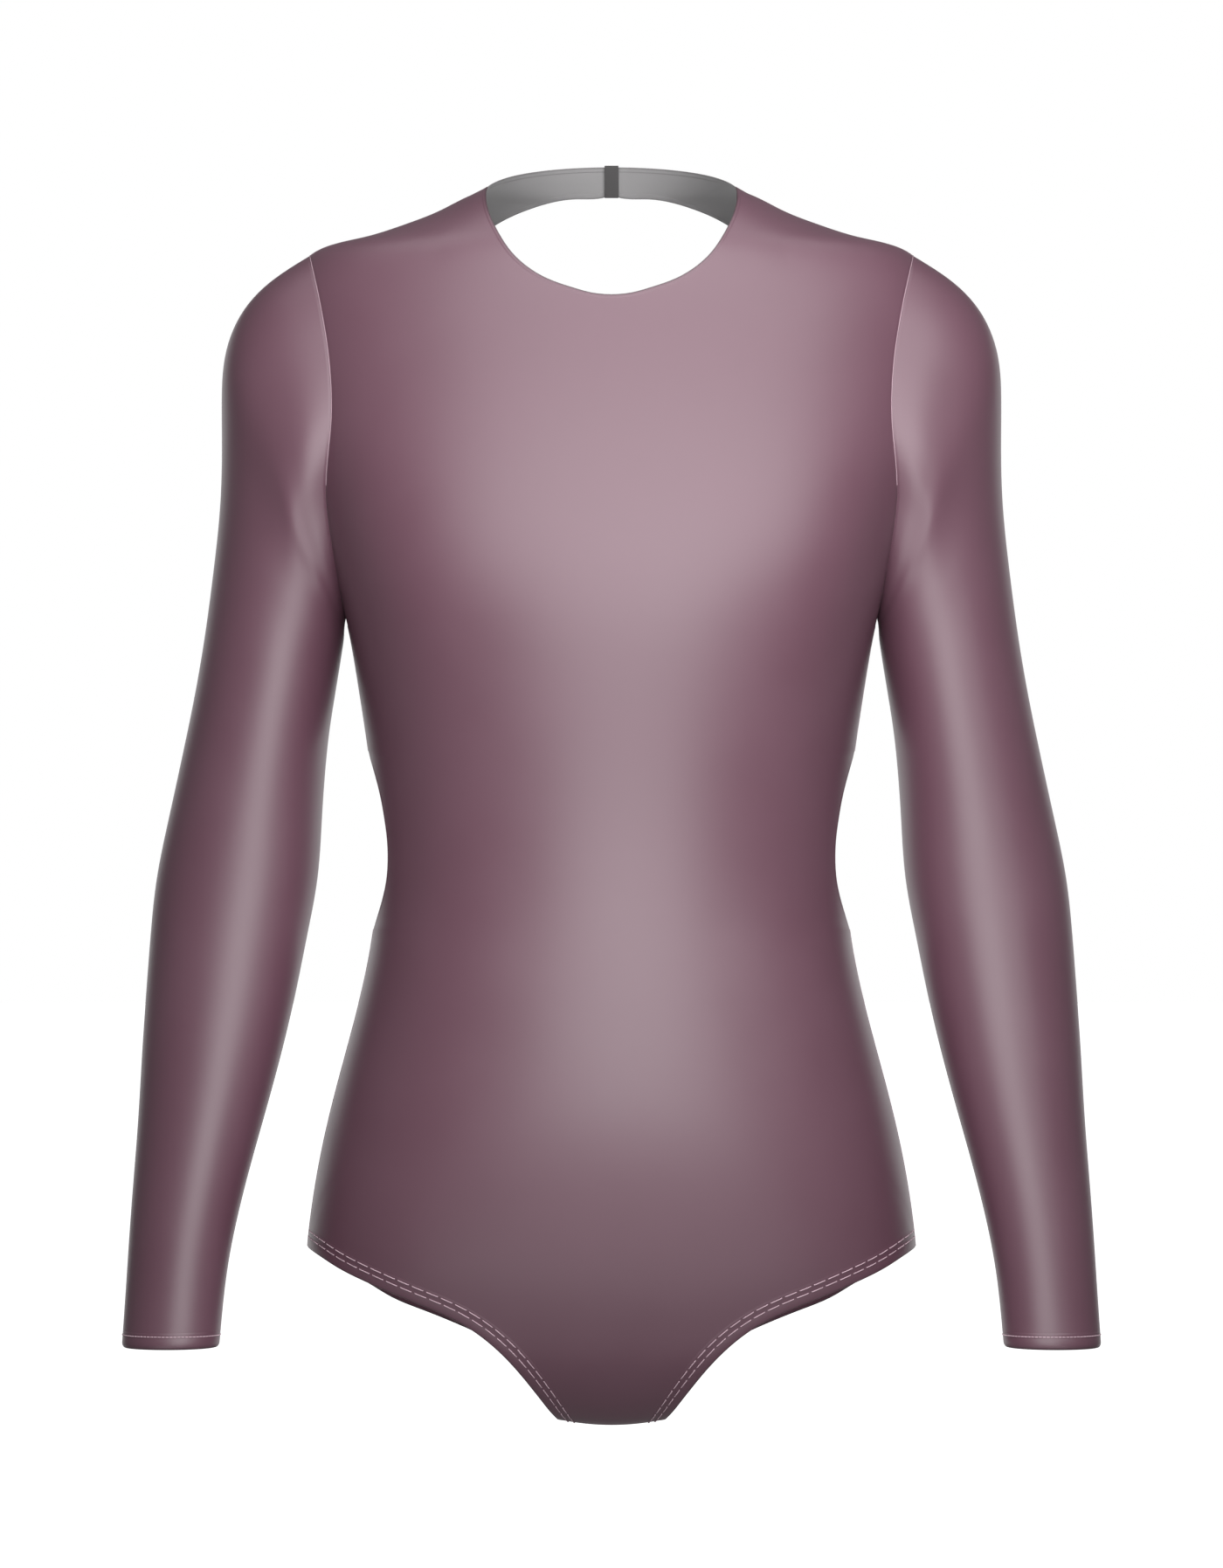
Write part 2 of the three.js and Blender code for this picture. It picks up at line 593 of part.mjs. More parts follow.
/**
 * Rows from the end of the waist cut to the crotch, each from the side seam or leg opening to the
 * middle, where they are evenly spaced below topZ. They level out towards the middle.
 */
function hipRows(legEdge, face, steps, topZ) {
  const leg = tableCurve(legEdge, "x", "z");
  const legPlace = (u) => {
    const { x, z } = leg.at(leg.end * u * u);
    return placeOn(x, z, face);
  };
  const seam = spread(SIDE_STEPS, levelOf(WAIST_CUT_END_Z), levelOf(LEG_CORNER_Z));
  const sides = [
    ...seam.map((level) => ({ angle: 0, level })),
    ...evenPlaces(legPlace, LEG_STEPS).slice(1),
  ];
  const middles = spread(sides.length - 1, levelOf(topZ), torsoCurve.end);
  return sides.map((side, k) =>
    spread(steps, 0, 1).map((share) => ({
      angle: between(side.angle, (face * Math.PI) / 2, share),
      level: between(middles[k], side.level, (1 - share) ** 2),
    })),
  );
}

/** The left upper back strap, from the nape band over the shoulder blade to the side seam. */
function upperBackStrap() {
  const nape = { angle: -angleAt(OPEN_BACK[0].x, levelOf(NAPE_RISE), 1), level: levelOf(NAPE_RISE) };
  const crowded = spread(BACK_NECK_STEPS, 0, 1).map((share) => share ** NAPE_CROWDING);
  const backNeck = crowded.map((share) => {
    const angle = between(nape.angle, 0, share);
    const z = NAPE_RISE * Math.abs(Math.sin(angle)) ** NAPE_POWER;
    return { angle, level: levelOf(z) };
  });
  const armhole = armholePlaces(-1);
  const tail = spread(STRAP_TAIL_STEPS, UNDERARM_Z, STRAP_TIP_Z).slice(1);
  const sideSeam = tail.map((z) => ({ angle: 0, level: levelOf(z) }));
  const outer = [...backNeck, ...shoulderPlaces.slice(1), ...armhole.slice(1), ...sideSeam];

  const edge = tableCurve(OPEN_BACK, "x", "z");
  const alongAt = (z) => whereFalling((s) => edge.value("z", s), z, 0, edge.end);
  const stretches = [
    [SHOULDER_STEPS, alongAt(ACROSS_FROM.neck), alongAt(ACROSS_FROM.shoulder)],
    [ARMHOLE_STEPS, alongAt(ACROSS_FROM.shoulder), alongAt(ACROSS_FROM.underarm)],
    [STRAP_TAIL_STEPS, alongAt(ACROSS_FROM.underarm), edge.end],
  ];
  const along = [
    ...crowded.map((share) => share * alongAt(ACROSS_FROM.neck)),
    ...stretches.flatMap(([count, from, to]) => spread(count, from, to).slice(1)),
  ];
  const inner = along.map((s) => {
    const { x, z } = edge.at(s);
    return placeOn(x, z, -1);
  });

  const grid = outer.map((place, i) =>
    spread(STRAP_WIDTH_STEPS, 0, 1).map((share) => onTorso(blendPlaces(inner[i], place, share))),
  );
  const armholeStart = BACK_NECK_STEPS + SHOULDER_STEPS;
  const armholeRows = grid.slice(armholeStart, armholeStart + ARMHOLE_STEPS + 1);
  mitreArmhole(armholeRows, armhole, STRAP_WIDTH_STEPS, 1);
  const last = grid[0].length - 1;
  const shoulderOn = grid.slice(BACK_NECK_STEPS);
  trimEdge(columnOf(shoulderOn, last), columnOf(shoulderOn, last - 1));
  return wallGeometry(grid);
}

/** The lower back panel, from the low back edge to the crotch. */
function lowerBackPanel() {
  const rows = hipRows(BACK_LEG, -1, LOWER_BACK_COLUMNS / 2, WAIST_CUT_END_Z - OPEN_BACK_DROP);
  const grid = rows.map((row) => mirroredRow(row, -1).map(onTorso).reverse());
  levelCrotch(grid[grid.length - 1]);
  trimSides(grid);
  trimEdge(grid[grid.length - 1], grid[grid.length - 2]);
  return wallGeometry(grid, { symmetrical: true });
}

/** The left sleeve, a tube from the armhole to the cuff. */
function sleeveTube() {
  const front = armholePlaces(1);
  const back = armholePlaces(-1);
  const turns = spread(2 * ARMHOLE_STEPS, 0, 2 * Math.PI).slice(0, -1);
  const ringRows = spread(lastSleeveRow * SLEEVE_SPLIT, 0, lastSleeveRow);
  const grid = ringRows.map((row) =>
    turns.map((turn) => ({
      point: sleevePoint({ turn, row }),
      normal: sleeveNormal({ turn, row }),
    })),
  );
  grid[0].forEach((vertex, k) => {
    const place = k <= ARMHOLE_STEPS ? front[k] : back[2 * ARMHOLE_STEPS - k];
    vertex.normal = armholeNormals(turns[k], place).sleeve;
    vertex.point.addScaledVector(vertex.normal, -sideways(turns[k], place));
  });
  trimEdge(grid[0], grid[1], true);
  return wallGeometry(grid, { closedRound: true });
}

/** The nape tab: an H in plan, whose two slots take the ends of the nape band. */
function napeTab() {
  const side = TAB.width / 2;
  const web = TAB.web / 2;
  const slot = TAB.slot / 2;
  const face = slot + TAB.leaf;
  const outline = [
    [-side, -face],
    [side, -face],
    [side, -slot],
    [web, -slot],
    [web, slot],
    [side, slot],
    [side, face],
    [-side, face],
    [-side, slot],
    [-web, slot],
    [-web, -slot],
    [-side, -slot],
  ];
  const shape = new THREE.Shape(outline.map(([x, y]) => new THREE.Vector2(x, y)));
  return new THREE.ExtrudeGeometry(shape, { depth: TAB.height, bevelEnabled: false });
}

/** The mirror image of a geometry across the centre line, with its faces turned back out. */
function mirrored(geometry) {
  const copy = geometry.clone();
  const position = copy.getAttribute("position");
  for (let i = 0; i < position.count; i++) position.setX(i, -position.getX(i));
  const index = copy.getIndex();
  for (let i = 0; i < index.count; i += 3) {
    const second = index.getX(i + 1);
    index.setX(i + 1, index.getX(i + 2));
    index.setX(i + 2, second);
  }
  copy.computeVertexNormals();
  return copy;
}

const leotard = new THREE.Group();

function addPiece(name, geometry, finish) {
  const mesh = new THREE.Mesh(geometry, new THREE.MeshStandardMaterial(finish));
  mesh.name = name;
  leotard.add(mesh);
  return mesh;
}

addPiece("front_panel", frontPanel(), CLOTH_FINISH);
const strap = upperBackStrap();
addPiece("upper_back_left", strap, CLOTH_FINISH);
addPiece("upper_back_right", mirrored(strap), CLOTH_FINISH);
addPiece("lower_back", lowerBackPanel(), CLOTH_FINISH);
const sleeve = sleeveTube();
addPiece("sleeve_left", sleeve, CLOTH_FINISH);
addPiece("sleeve_right", mirrored(sleeve), CLOTH_FINISH);

// The tab leans with the nape band, and stands a little above its top edge.
const inSlot = (TAB.web + TAB.width) / 4;
const bandTop = torsoPoint(placeOn(inSlot, NAPE_RISE, -1));
const bandFoot = torsoPoint(placeOn(inSlot, NAPE_RISE + TAB.over_top - TAB.height, -1));
bandTop.x = bandFoot.x = 0;
const lean = Math.atan2(bandFoot.y - bandTop.y, bandTop.z - bandFoot.z);
const tab = addPiece("nape_tab", napeTab(), TAB_FINISH);
tab.rotation.x = lean;
tab.position.copy(bandFoot);
tab.position.y -= CLOTH / 2 / Math.cos(lean);

export default leotard;
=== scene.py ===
"""The looks of a long-sleeved dance leotard in plum satin knit, empty, in the shape it has when worn.

Metres, +Z up. The front faces -Y and the wearer's left is +X. The tables and the surfaces made from
them are in millimetres, in the same frame.
"""

import logging
import math
from dataclasses import dataclass, field
from enum import Enum
from typing import Callable, NamedTuple, Sequence

import bpy
import numpy as np
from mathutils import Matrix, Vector


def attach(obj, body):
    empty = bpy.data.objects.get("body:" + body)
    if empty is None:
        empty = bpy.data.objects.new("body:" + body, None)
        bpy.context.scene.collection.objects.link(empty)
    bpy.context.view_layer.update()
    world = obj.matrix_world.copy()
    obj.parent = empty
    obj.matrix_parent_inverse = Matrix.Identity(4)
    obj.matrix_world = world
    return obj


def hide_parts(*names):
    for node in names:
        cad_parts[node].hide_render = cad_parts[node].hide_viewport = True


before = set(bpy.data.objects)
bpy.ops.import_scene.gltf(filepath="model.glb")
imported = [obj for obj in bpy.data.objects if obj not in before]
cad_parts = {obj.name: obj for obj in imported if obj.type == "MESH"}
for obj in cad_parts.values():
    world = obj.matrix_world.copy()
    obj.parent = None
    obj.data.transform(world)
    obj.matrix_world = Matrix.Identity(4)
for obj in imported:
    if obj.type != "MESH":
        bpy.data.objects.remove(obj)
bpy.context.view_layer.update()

Array = np.ndarray
log = logging.getLogger("leotard")
MM = 0.001
BODY = "root"

# Heights of the landmarks above the side neck point, and how the nape's edge and the yoke's rows bend
NAPE_RISE = 14.6
NAPE_POWER = 0.9
SHOULDER_Z = -36.3
UNDERARM_Z = -227.2
STRAP_TIP_Z = -297.0
WAIST_CUT_END_Z = -391.0
LEG_CORNER_Z = -557.5
ABOVE_LEGS_Z = -520.0
YOKE_Z = -173.0
YOKE_FLARE = 0.6
OPEN_BACK_DROP = 54.0

# Heights on the open back that lie across from the side neck point, the shoulder and the underarm
ACROSS_FROM_NECK = -13.0
ACROSS_FROM_SHOULDER = -50.0
ACROSS_FROM_UNDERARM = -222.0


class Section(NamedTuple):
    """A level section of the body of the garment."""

    z: float
    half_width: float
    front: float
    back: float
    square: float
    edge_rise: float


STRIP_REACH = 28.0
TORSO = (
    Section(20, 58.5, 44, 57.4, 0, 0),
    Section(9, 60.5, 47, 59.6, 0, 0),
    Section(0, 65.5, 51, 61.4, 0, 0),
    Section(-5, 75, 54, 62.6, 0, 0),
    Section(-12.5, 90, 57, 64.8, 0, 0),
    Section(-20, 109, 60, 67.7, 0, 0),
    Section(-27, 131.5, 62.5, 71.2, 0, 0),
    Section(-36.3, 158.7, 66, 77, 0, 0),
    Section(-52, 169, 71, 86, 0.005, 0),
    Section(-80, 172, 82, 93, 0.01, 0),
    Section(-115, 169, 96, 97, 0.02, 0),
    Section(-163, 158, 110, 97, 0.035, 0),
    Section(-195, 149, 113.5, 94, 0.04, 0),
    Section(-227.2, 139.8, 112, 89, 0.04, 0),
    Section(-262, 133.3, 106, 82, 0.03, 0),
    Section(-297, 128, 99.5, 75, 0.02, 0),
    Section(-350, 123.3, 93, 69, 0.015, 0),
    Section(-378, 124, 92.5, 71, 0.015, 0),
    Section(-412, 129, 94, 79, 0.02, 0),
    Section(-447, 137.5, 95.5, 90, 0.02, 0),
    Section(-493, 149.5, 95, 103, 0.02, 0),
    Section(-539, 158, 88, 107, 0.02, 0),
    Section(-575, 161, 77, 101, 0.01, 0),
    Section(-600, 160.4, 65, 91, 0, 0),
    Section(-620, 159.4, 52.3, 76.3, 0, 0.1),
    Section(-632, 158.4, 41.5, 62.5, 0, 0.6),
    Section(-640, 157.6, 32.3, 49.5, 0, 1.3),
    Section(-645.5, 156.8, 23.9, 37, 0, 1.9),
    Section(-649, 156, 16.2, 25.3, 0, 2.5),
    Section(-650.8, 155.6, 10.2, 16, 0, 2.8),
    Section(-651.7, 155.3, 5.1, 8, 0, 2.95),
    Section(-652, 155, 0, 0, 0, 3),
)


class EdgePoint(NamedTuple):
    """A point of a panel's edge, as seen from the front or the back."""

    x: float
    z: float


def edge_points(*pairs: tuple[float, float]) -> tuple[EdgePoint, ...]:
    """An edge from pairs of x and z."""
    return tuple(EdgePoint(*pair) for pair in pairs)


NECKLINE = edge_points(
    (0, -61.2), (4, -61.05), (10, -60.3), (20.4, -57.4), (33, -52.8),
    (44.4, -45.8), (52.2, -38.2), (58.5, -28.5), (63.2, -18.6), (65.8, -7.9),
    (65.5, 0),
)
ARMHOLE = edge_points(
    (158.7, -36.3), (154, -55), (149.9, -75), (147.5, -90), (145.7, -111),
    (145.6, -123), (147, -140), (148.6, -163), (146.4, -185), (143.4, -205),
    (139.8, -227.2),
)
WAIST_CUT = edge_points(
    (128, -297), (124.2, -309), (121.2, -320), (118.9, -332), (117.4, -343),
    (117, -355), (118, -366), (121, -378), (125.3, -391),
)
OPEN_BACK = edge_points(
    (1.1, 3.3), (2.5, 0), (5.6, -1.2), (19.7, -2), (32.6, -4.1),
    (43.3, -7.5), (54.1, -12), (62.4, -16.5), (75, -26), (86, -39),
    (94, -56), (99, -82), (100.5, -115), (101.5, -150), (105, -190),
    (111, -225), (119.5, -262), (125, -283), (127.8, -296.5),
)
FRONT_LEG = edge_points(
    (160, -557.5), (153, -561), (144, -566), (127, -573.8), (103.5, -583.4),
    (81, -593), (59.5, -608.5), (43.8, -627.5), (34, -643), (28, -652),
)
BACK_LEG = edge_points(
    (160, -557.5), (150, -568), (130, -581), (118, -588.7), (101.5, -596),
    (84.5, -603), (60, -615.5), (44, -629.5), (34, -643), (28, -652),
)


class SleeveRing(NamedTuple):
    """A ring of the left sleeve, on a line from its outer to its inner point as seen from the front."""

    outer_x: float
    outer_z: float
    inner_x: float
    inner_z: float
    centre_y: float
    half_depth: float


SLEEVE = (
    SleeveRing(158.7, -36.3, 139.8, -227.2, 3, 50),
    SleeveRing(180, -50.5, 140.2, -229.2, 2, 50),
    SleeveRing(195.5, -68, 140.5, -231.4, 2, 49),
    SleeveRing(203.6, -90, 140.7, -233.8, 2, 47.5),
    SleeveRing(205.3, -115, 140.9, -236.6, 3, 46),
    SleeveRing(205.3, -143, 141.3, -240, 4, 44.5),
    SleeveRing(206.5, -171, 142.1, -245, 5, 43.2),
    SleeveRing(209.6, -200, 143.5, -253.5, 6.5, 42.2),
    SleeveRing(214, -233, 146.1, -269, 8, 41.5),
    SleeveRing(219.6, -266, 149.1, -288.5, 9.5, 41),
    SleeveRing(226.2, -298, 151.4, -311, 11, 40.7),
    SleeveRing(233.2, -330, 153, -335, 12, 40.5),
    SleeveRing(239.7, -362, 155.2, -364, 11.5, 40),
    SleeveRing(243, -392, 160.3, -393, 9, 39.2),
    SleeveRing(245.3, -425, 166.6, -425, 4.5, 38),
    SleeveRing(247.2, -458, 174.2, -458, -1.5, 36),
    SleeveRing(248.8, -491, 183, -491, -8, 33.2),
    SleeveRing(250.9, -523, 191.6, -523, -15, 30),
    SleeveRing(252.9, -555, 198.8, -555, -21.5, 27),
    SleeveRing(254.4, -582, 202.7, -582, -26.5, 25),
    SleeveRing(256, -608.3, 205, -608.3, -31, 24.2),
)
SLEEVE_CAP_ROWS = 6.0


class Side(Enum):
    """Which half of the wearer a piece is on, as the sign of its x."""

    LEFT = 1
    RIGHT = -1

    @property
    def word(self) -> str:
        """The side in lower case, for names."""
        return self.name.lower()


class Face(Enum):
    """The front or the back half of the body, as the sign of its angle."""

    FRONT = 1
    BACK = -1


# Smooth curves and the surfaces of the garment


class Spline:
    """A natural cubic spline through rows of numbers over rising knots."""

    def __init__(self, knots: Sequence[float], values: Sequence) -> None:
        """Fits the spline.

        Args:
            knots: The rising knots.
            values: A number, or a row of numbers, at each knot.
        """
        self.knots = np.asarray(knots, float)
        self.values = np.asarray(values, float).reshape(len(self.knots), -1)
        count = len(self.knots)
        step = np.diff(self.knots)
        matrix, turn = np.eye(count), np.zeros_like(self.values)
        slope = np.diff(self.values, axis=0) / step[:, None]
        for i in range(1, count - 1):
            matrix[i, i - 1 : i + 2] = step[i - 1], 2 * (step[i - 1] + step[i]), step[i]
            turn[i] = 6 * (slope[i] - slope[i - 1])
        self.bend = np.linalg.solve(matrix, turn)

    def at(self, where: Array) -> Array:
        """The curve at some places.

        Args:
            where: Places on the knots' scale.

        Returns:
            One row of values for each place.
        """
        where = np.asarray(where, float)
        i = np.clip(np.searchsorted(self.knots, where) - 1, 0, len(self.knots) - 2)
        step = (self.knots[i + 1] - self.knots[i])[..., None]
        b = (where - self.knots[i])[..., None] / step
        a = 1 - b
        cubic = (a**3 - a) * self.bend[i] + (b**3 - b) * self.bend[i + 1]
        return a * self.values[i] + b * self.values[i + 1] + cubic * step**2 / 6


HALVINGS = 44


def falling_root(falling: Callable[[Array], Array], value: Array, low: Array, high: Array) -> Array:
    """Where a falling function reaches a value, by halving.

    Args:
        falling: The function, of arrays.
        value: The value to reach.
        low: Lower ends of the search.
        high: Upper ends of the search.

    Returns:
        The places.
    """
    value = np.asarray(value, float)
    low, high = np.broadcast_to(low, value.shape).copy(), np.broadcast_to(high, value.shape).copy()
    for _ in range(HALVINGS):
        middle = (low + high) / 2
        above = falling(middle) > value
        low, high = np.where(above, middle, low), np.where(above, high, middle)
    return (low + high) / 2


def running_length(points: Array) -> Array:
    """The distance along a line of points to each of them."""
    return np.concatenate([[0.0], np.cumsum(np.linalg.norm(np.diff(points, axis=0), axis=1))])


def unit(vectors: Array) -> Array:
    """Vectors at length one."""
    return vectors / np.maximum(np.linalg.norm(vectors, axis=-1, keepdims=True), 1e-12)


def edge_curve(edge: Sequence[EdgePoint]) -> tuple[Spline, float]:
    """An edge as a smooth curve.

    Args:
        edge: The edge's points.

    Returns:
        A spline over the running length, and that length.
    """
    rows = np.array(edge, float)
    length = running_length(rows)
    return Spline(length, rows), float(length[-1])


def edge_by_height(edge: Sequence[EdgePoint]) -> Callable[[Array], Array]:
    """How far out an edge is at each height.

    Args:
        edge: The edge's points, from the top down.

    Returns:
        The edge's x as a function of z.
    """
    rows = np.array(edge, float)
    curve = Spline(-rows[:, 1], rows[:, 0])
    return lambda z: curve.at(-np.asarray(z, float))[..., 0]


# How finely lines are searched, and the steps over which slopes are taken
LEVEL_SAMPLES = 20001
EDGE_SAMPLES = 800
OPEN_BACK_SAMPLES = 6000
END_LEVEL = 0.6
NORMAL_STEPS = np.diag([0.004, 0.5])
INSET_STEPS = np.diag([0.002, 0.2])
INSET_ROUNDS = 3
END_ROW = 0.06
TURN_STEP = 0.01
ROW_STEP = 0.05


class BodyForm:
    """The outside of the garment's body. A place on it is an angle from the side and a level."""

    def __init__(self, sections: Sequence[Section]) -> None:
        """Fits the form.

        Args:
            sections: The level sections, from the top down.
        """
        rows = np.array(sections, float)
        length = running_length(rows[:, :2])
        self.curve = Spline(length, rows)
        self.end = float(length[-1])
        self._levels = np.linspace(0, self.end, LEVEL_SAMPLES)
        self._heights = self.curve.at(self._levels)[:, 0]

    @staticmethod
    def across(angle: Array, square: Array) -> Array:
        """Side to side share of a section."""
        return (np.cos(angle) - square * np.cos(3 * angle)) / (1 - square)

    @staticmethod
    def deep(angle: Array, square: Array) -> Array:
        """Front to back share of a section."""
        return (np.sin(angle) + square * np.sin(3 * angle)) / (1 - square)

    def point(self, places: Array) -> Array:
        """Points of the outside.

        Args:
            places: Angles and levels.

        Returns:
            A point for each place.
        """
        angle, level = places[..., 0], places[..., 1]
        z, half_width, front, back, square, edge_rise = np.moveaxis(self.curve.at(level), -1, 0)
        deep = self.deep(angle, square)
        x = half_width * self.across(angle, square)
        y = -deep * np.where(deep > 0, front, back)
        return np.stack([x, y, z + edge_rise * (x / STRIP_REACH) ** 2], axis=-1)

    def normal(self, places: Array) -> Array:
        """Outward directions.

        Args:
            places: Angles and levels.

        Returns:
            A direction of length one for each place.
        """
        level = np.clip(places[..., 1], END_LEVEL, self.end - END_LEVEL)
        inside = np.stack([places[..., 0], level], axis=-1)
        around, down = (self.point(inside + step) - self.point(inside - step) for step in NORMAL_STEPS)
        return unit(np.cross(around, down))

    def level_of(self, z: Array) -> Array:
        """The level of a height on the side of the body."""
        return np.interp(-np.asarray(z, float), -self._heights, self._levels)

    def angle_at(self, x: Array, level: Array, face: Face) -> Array:
        """The angle at which a level is x wide.

        Args:
            x: Distances from the middle.
            level: Levels.
            face: Front or back.

        Returns:
            Angles.
        """
        _, half_width, _, _, square, _ = np.moveaxis(self.curve.at(level), -1, 0)
        share = np.minimum(np.abs(x) / half_width, 1)
        angle = falling_root(lambda t: self.across(t, square), share, 0.0, math.pi / 2)
        return face.value * np.where(share >= 1, 0, angle)

    def place_on(self, x: Array, z: Array, face: Face) -> Array:
        """The places that are seen at x and z."""
        level = self.level_of(z)
        return np.stack([self.angle_at(x, level, face), level], axis=-1)

    def seen_from_above(self, places: Array) -> Array:
        """Where places on the front are seen from in front and above: x, and how far down."""
        points = self.point(places)
        return np.stack([points[..., 0], -points[..., 2] - points[..., 1]], axis=-1)

    def place_seen_from_above(self, x: Array, drop: Array) -> Array:
        """The places on the front that are seen at a spot from in front and above.

        Args:
            x: Distances from the middle.
            drop: How far down they are seen.

        Returns:
            Places.
        """

        def height(level: Array) -> Array:
            """How high a level is seen at x."""
            places = np.stack([self.angle_at(x, level, Face.FRONT), level], axis=-1)
            return -self.seen_from_above(places)[..., 1]

        level = falling_root(height, -drop, 0.0, self.end)
        return np.stack([self.angle_at(x, level, Face.FRONT), level], axis=-1)

    def even_places(self, place_at: Callable[[Array], Array], count: int) -> Array:
        """Places at even distances along an edge.

        Args:
            place_at: The edge's places as a function of 0 to 1.
            count: How many steps to take.

        Returns:
            One more place than steps.
        """
        fine = place_at(np.linspace(0, 1, EDGE_SAMPLES))
        length = running_length(self.point(fine))
        even = np.linspace(0, length[-1], count + 1)
        return np.stack([np.interp(even, length, fine[:, i]) for i in (0, 1)], axis=-1)

    def inset(self, places: Array, distance: float, towards: Array) -> Array:
        """Places at a distance inside an edge.

        Args:
            places: The edge.
            distance: How far in to go.
            towards: A place that lies on the inner side.

        Returns:
            The places of the line inside the edge.
        """
        points, normals = self.point(places), self.normal(places)
        along = unit(np.gradient(points, axis=0))
        inward = unit(np.cross(normals, along))
        middle = len(points) // 2
        if np.dot(self.point(towards) - points[middle], inward[middle]) < 0:
            inward = -inward
        result = places.copy()
        for _ in range(INSET_ROUNDS):
            slopes = [
                (self.point(result + step) - self.point(result - step)) / (2 * step.max())
                for step in INSET_STEPS
            ]
            miss = points + distance * inward - self.point(result)
            jacobian = np.stack(slopes, axis=-1)
            result = result + np.einsum("...ij,...j->...i", np.linalg.pinv(jacobian), miss)
        return result


class SleeveForm:
    """The outside of the left sleeve. A place on it is a turn round it and a row along it."""

    def __init__(self, body: BodyForm, rings: Sequence[SleeveRing]) -> None:
        """Fits the sleeve.

        Args:
            body: The form that the sleeve is set into.
            rings: The rings, from the armhole to the cuff.
        """
        self.body = body
        self.end = float(len(rings) - 1)
        self.curve = Spline(np.arange(len(rings)), rings)
        self.armhole_x = edge_by_height(ARMHOLE)

    def oval(self, turn: Array, row: Array) -> Array:
        """Points of the plain oval rings.

        Args:
            turn: Turns round the sleeve.
            row: Rows along it.

        Returns:
            Points.
        """
        ring = np.moveaxis(self.curve.at(row), -1, 0)
        outer_x, outer_z, inner_x, inner_z, centre_y, half_depth = ring
        share = (1 - np.cos(turn)) / 2
        return np.stack(
            [
                outer_x + (inner_x - outer_x) * share,
                centre_y - half_depth * np.sin(turn),
                outer_z + (inner_z - outer_z) * share,
            ],
            axis=-1,
        )

    def armhole_places(self, turn: Array) -> Array:
        """Places on the body round the armhole.

        Args:
            turn: Turns, from 0 at the shoulder by a quarter turn in front.

        Returns:
            Places on the body.
        """
        z = SHOULDER_Z + (UNDERARM_Z - SHOULDER_Z) * (1 - np.cos(turn)) / 2
        front = self.body.place_on(self.armhole_x(z), z, Face.FRONT)
        at_end = np.abs(np.sin(turn)) < 1e-6
        front[..., 0] = np.where(at_end, 0, front[..., 0]) * np.where(np.sin(turn) < 0, -1, 1)
        return front

    def point(self, turn: Array, row: Array) -> Array:
        """Points of the outside of the sleeve.

        Args:
            turn: Turns round the sleeve.
            row: Rows along it.

        Returns:
            Points.
        """
        left = 1 - np.minimum(row / SLEEVE_CAP_ROWS, 1)
        fade = (left * left * (3 - 2 * left))[..., None]
        seam = self.body.point(self.armhole_places(turn)) - self.oval(turn, np.zeros_like(turn))
        return self.oval(turn, row) + seam * fade

    def normal(self, turn: Array, row: Array) -> Array:
        """Outward directions of the sleeve.

        Args:
            turn: Turns round the sleeve.
            row: Rows along it.

        Returns:
            Directions of length one.
        """
        inside = np.clip(row, END_ROW, self.end - END_ROW)
        around = self.point(turn + TURN_STEP, inside) - self.point(turn - TURN_STEP, inside)
        down = self.point(turn, inside + ROW_STEP) - self.point(turn, inside - ROW_STEP)
        return unit(np.cross(around, down))


BODY_FORM = BodyForm(TORSO)
SLEEVE_FORM = SleeveForm(BODY_FORM, SLEEVE)

# Cloth as a mesh

FAR_MM = 99.0
CHUNK = 40


class Layer(Enum):
    """The faces of a cloth wall, as indices of its material slots."""

    OUTSIDE = 0
    INSIDE = 1
    EDGE = 2


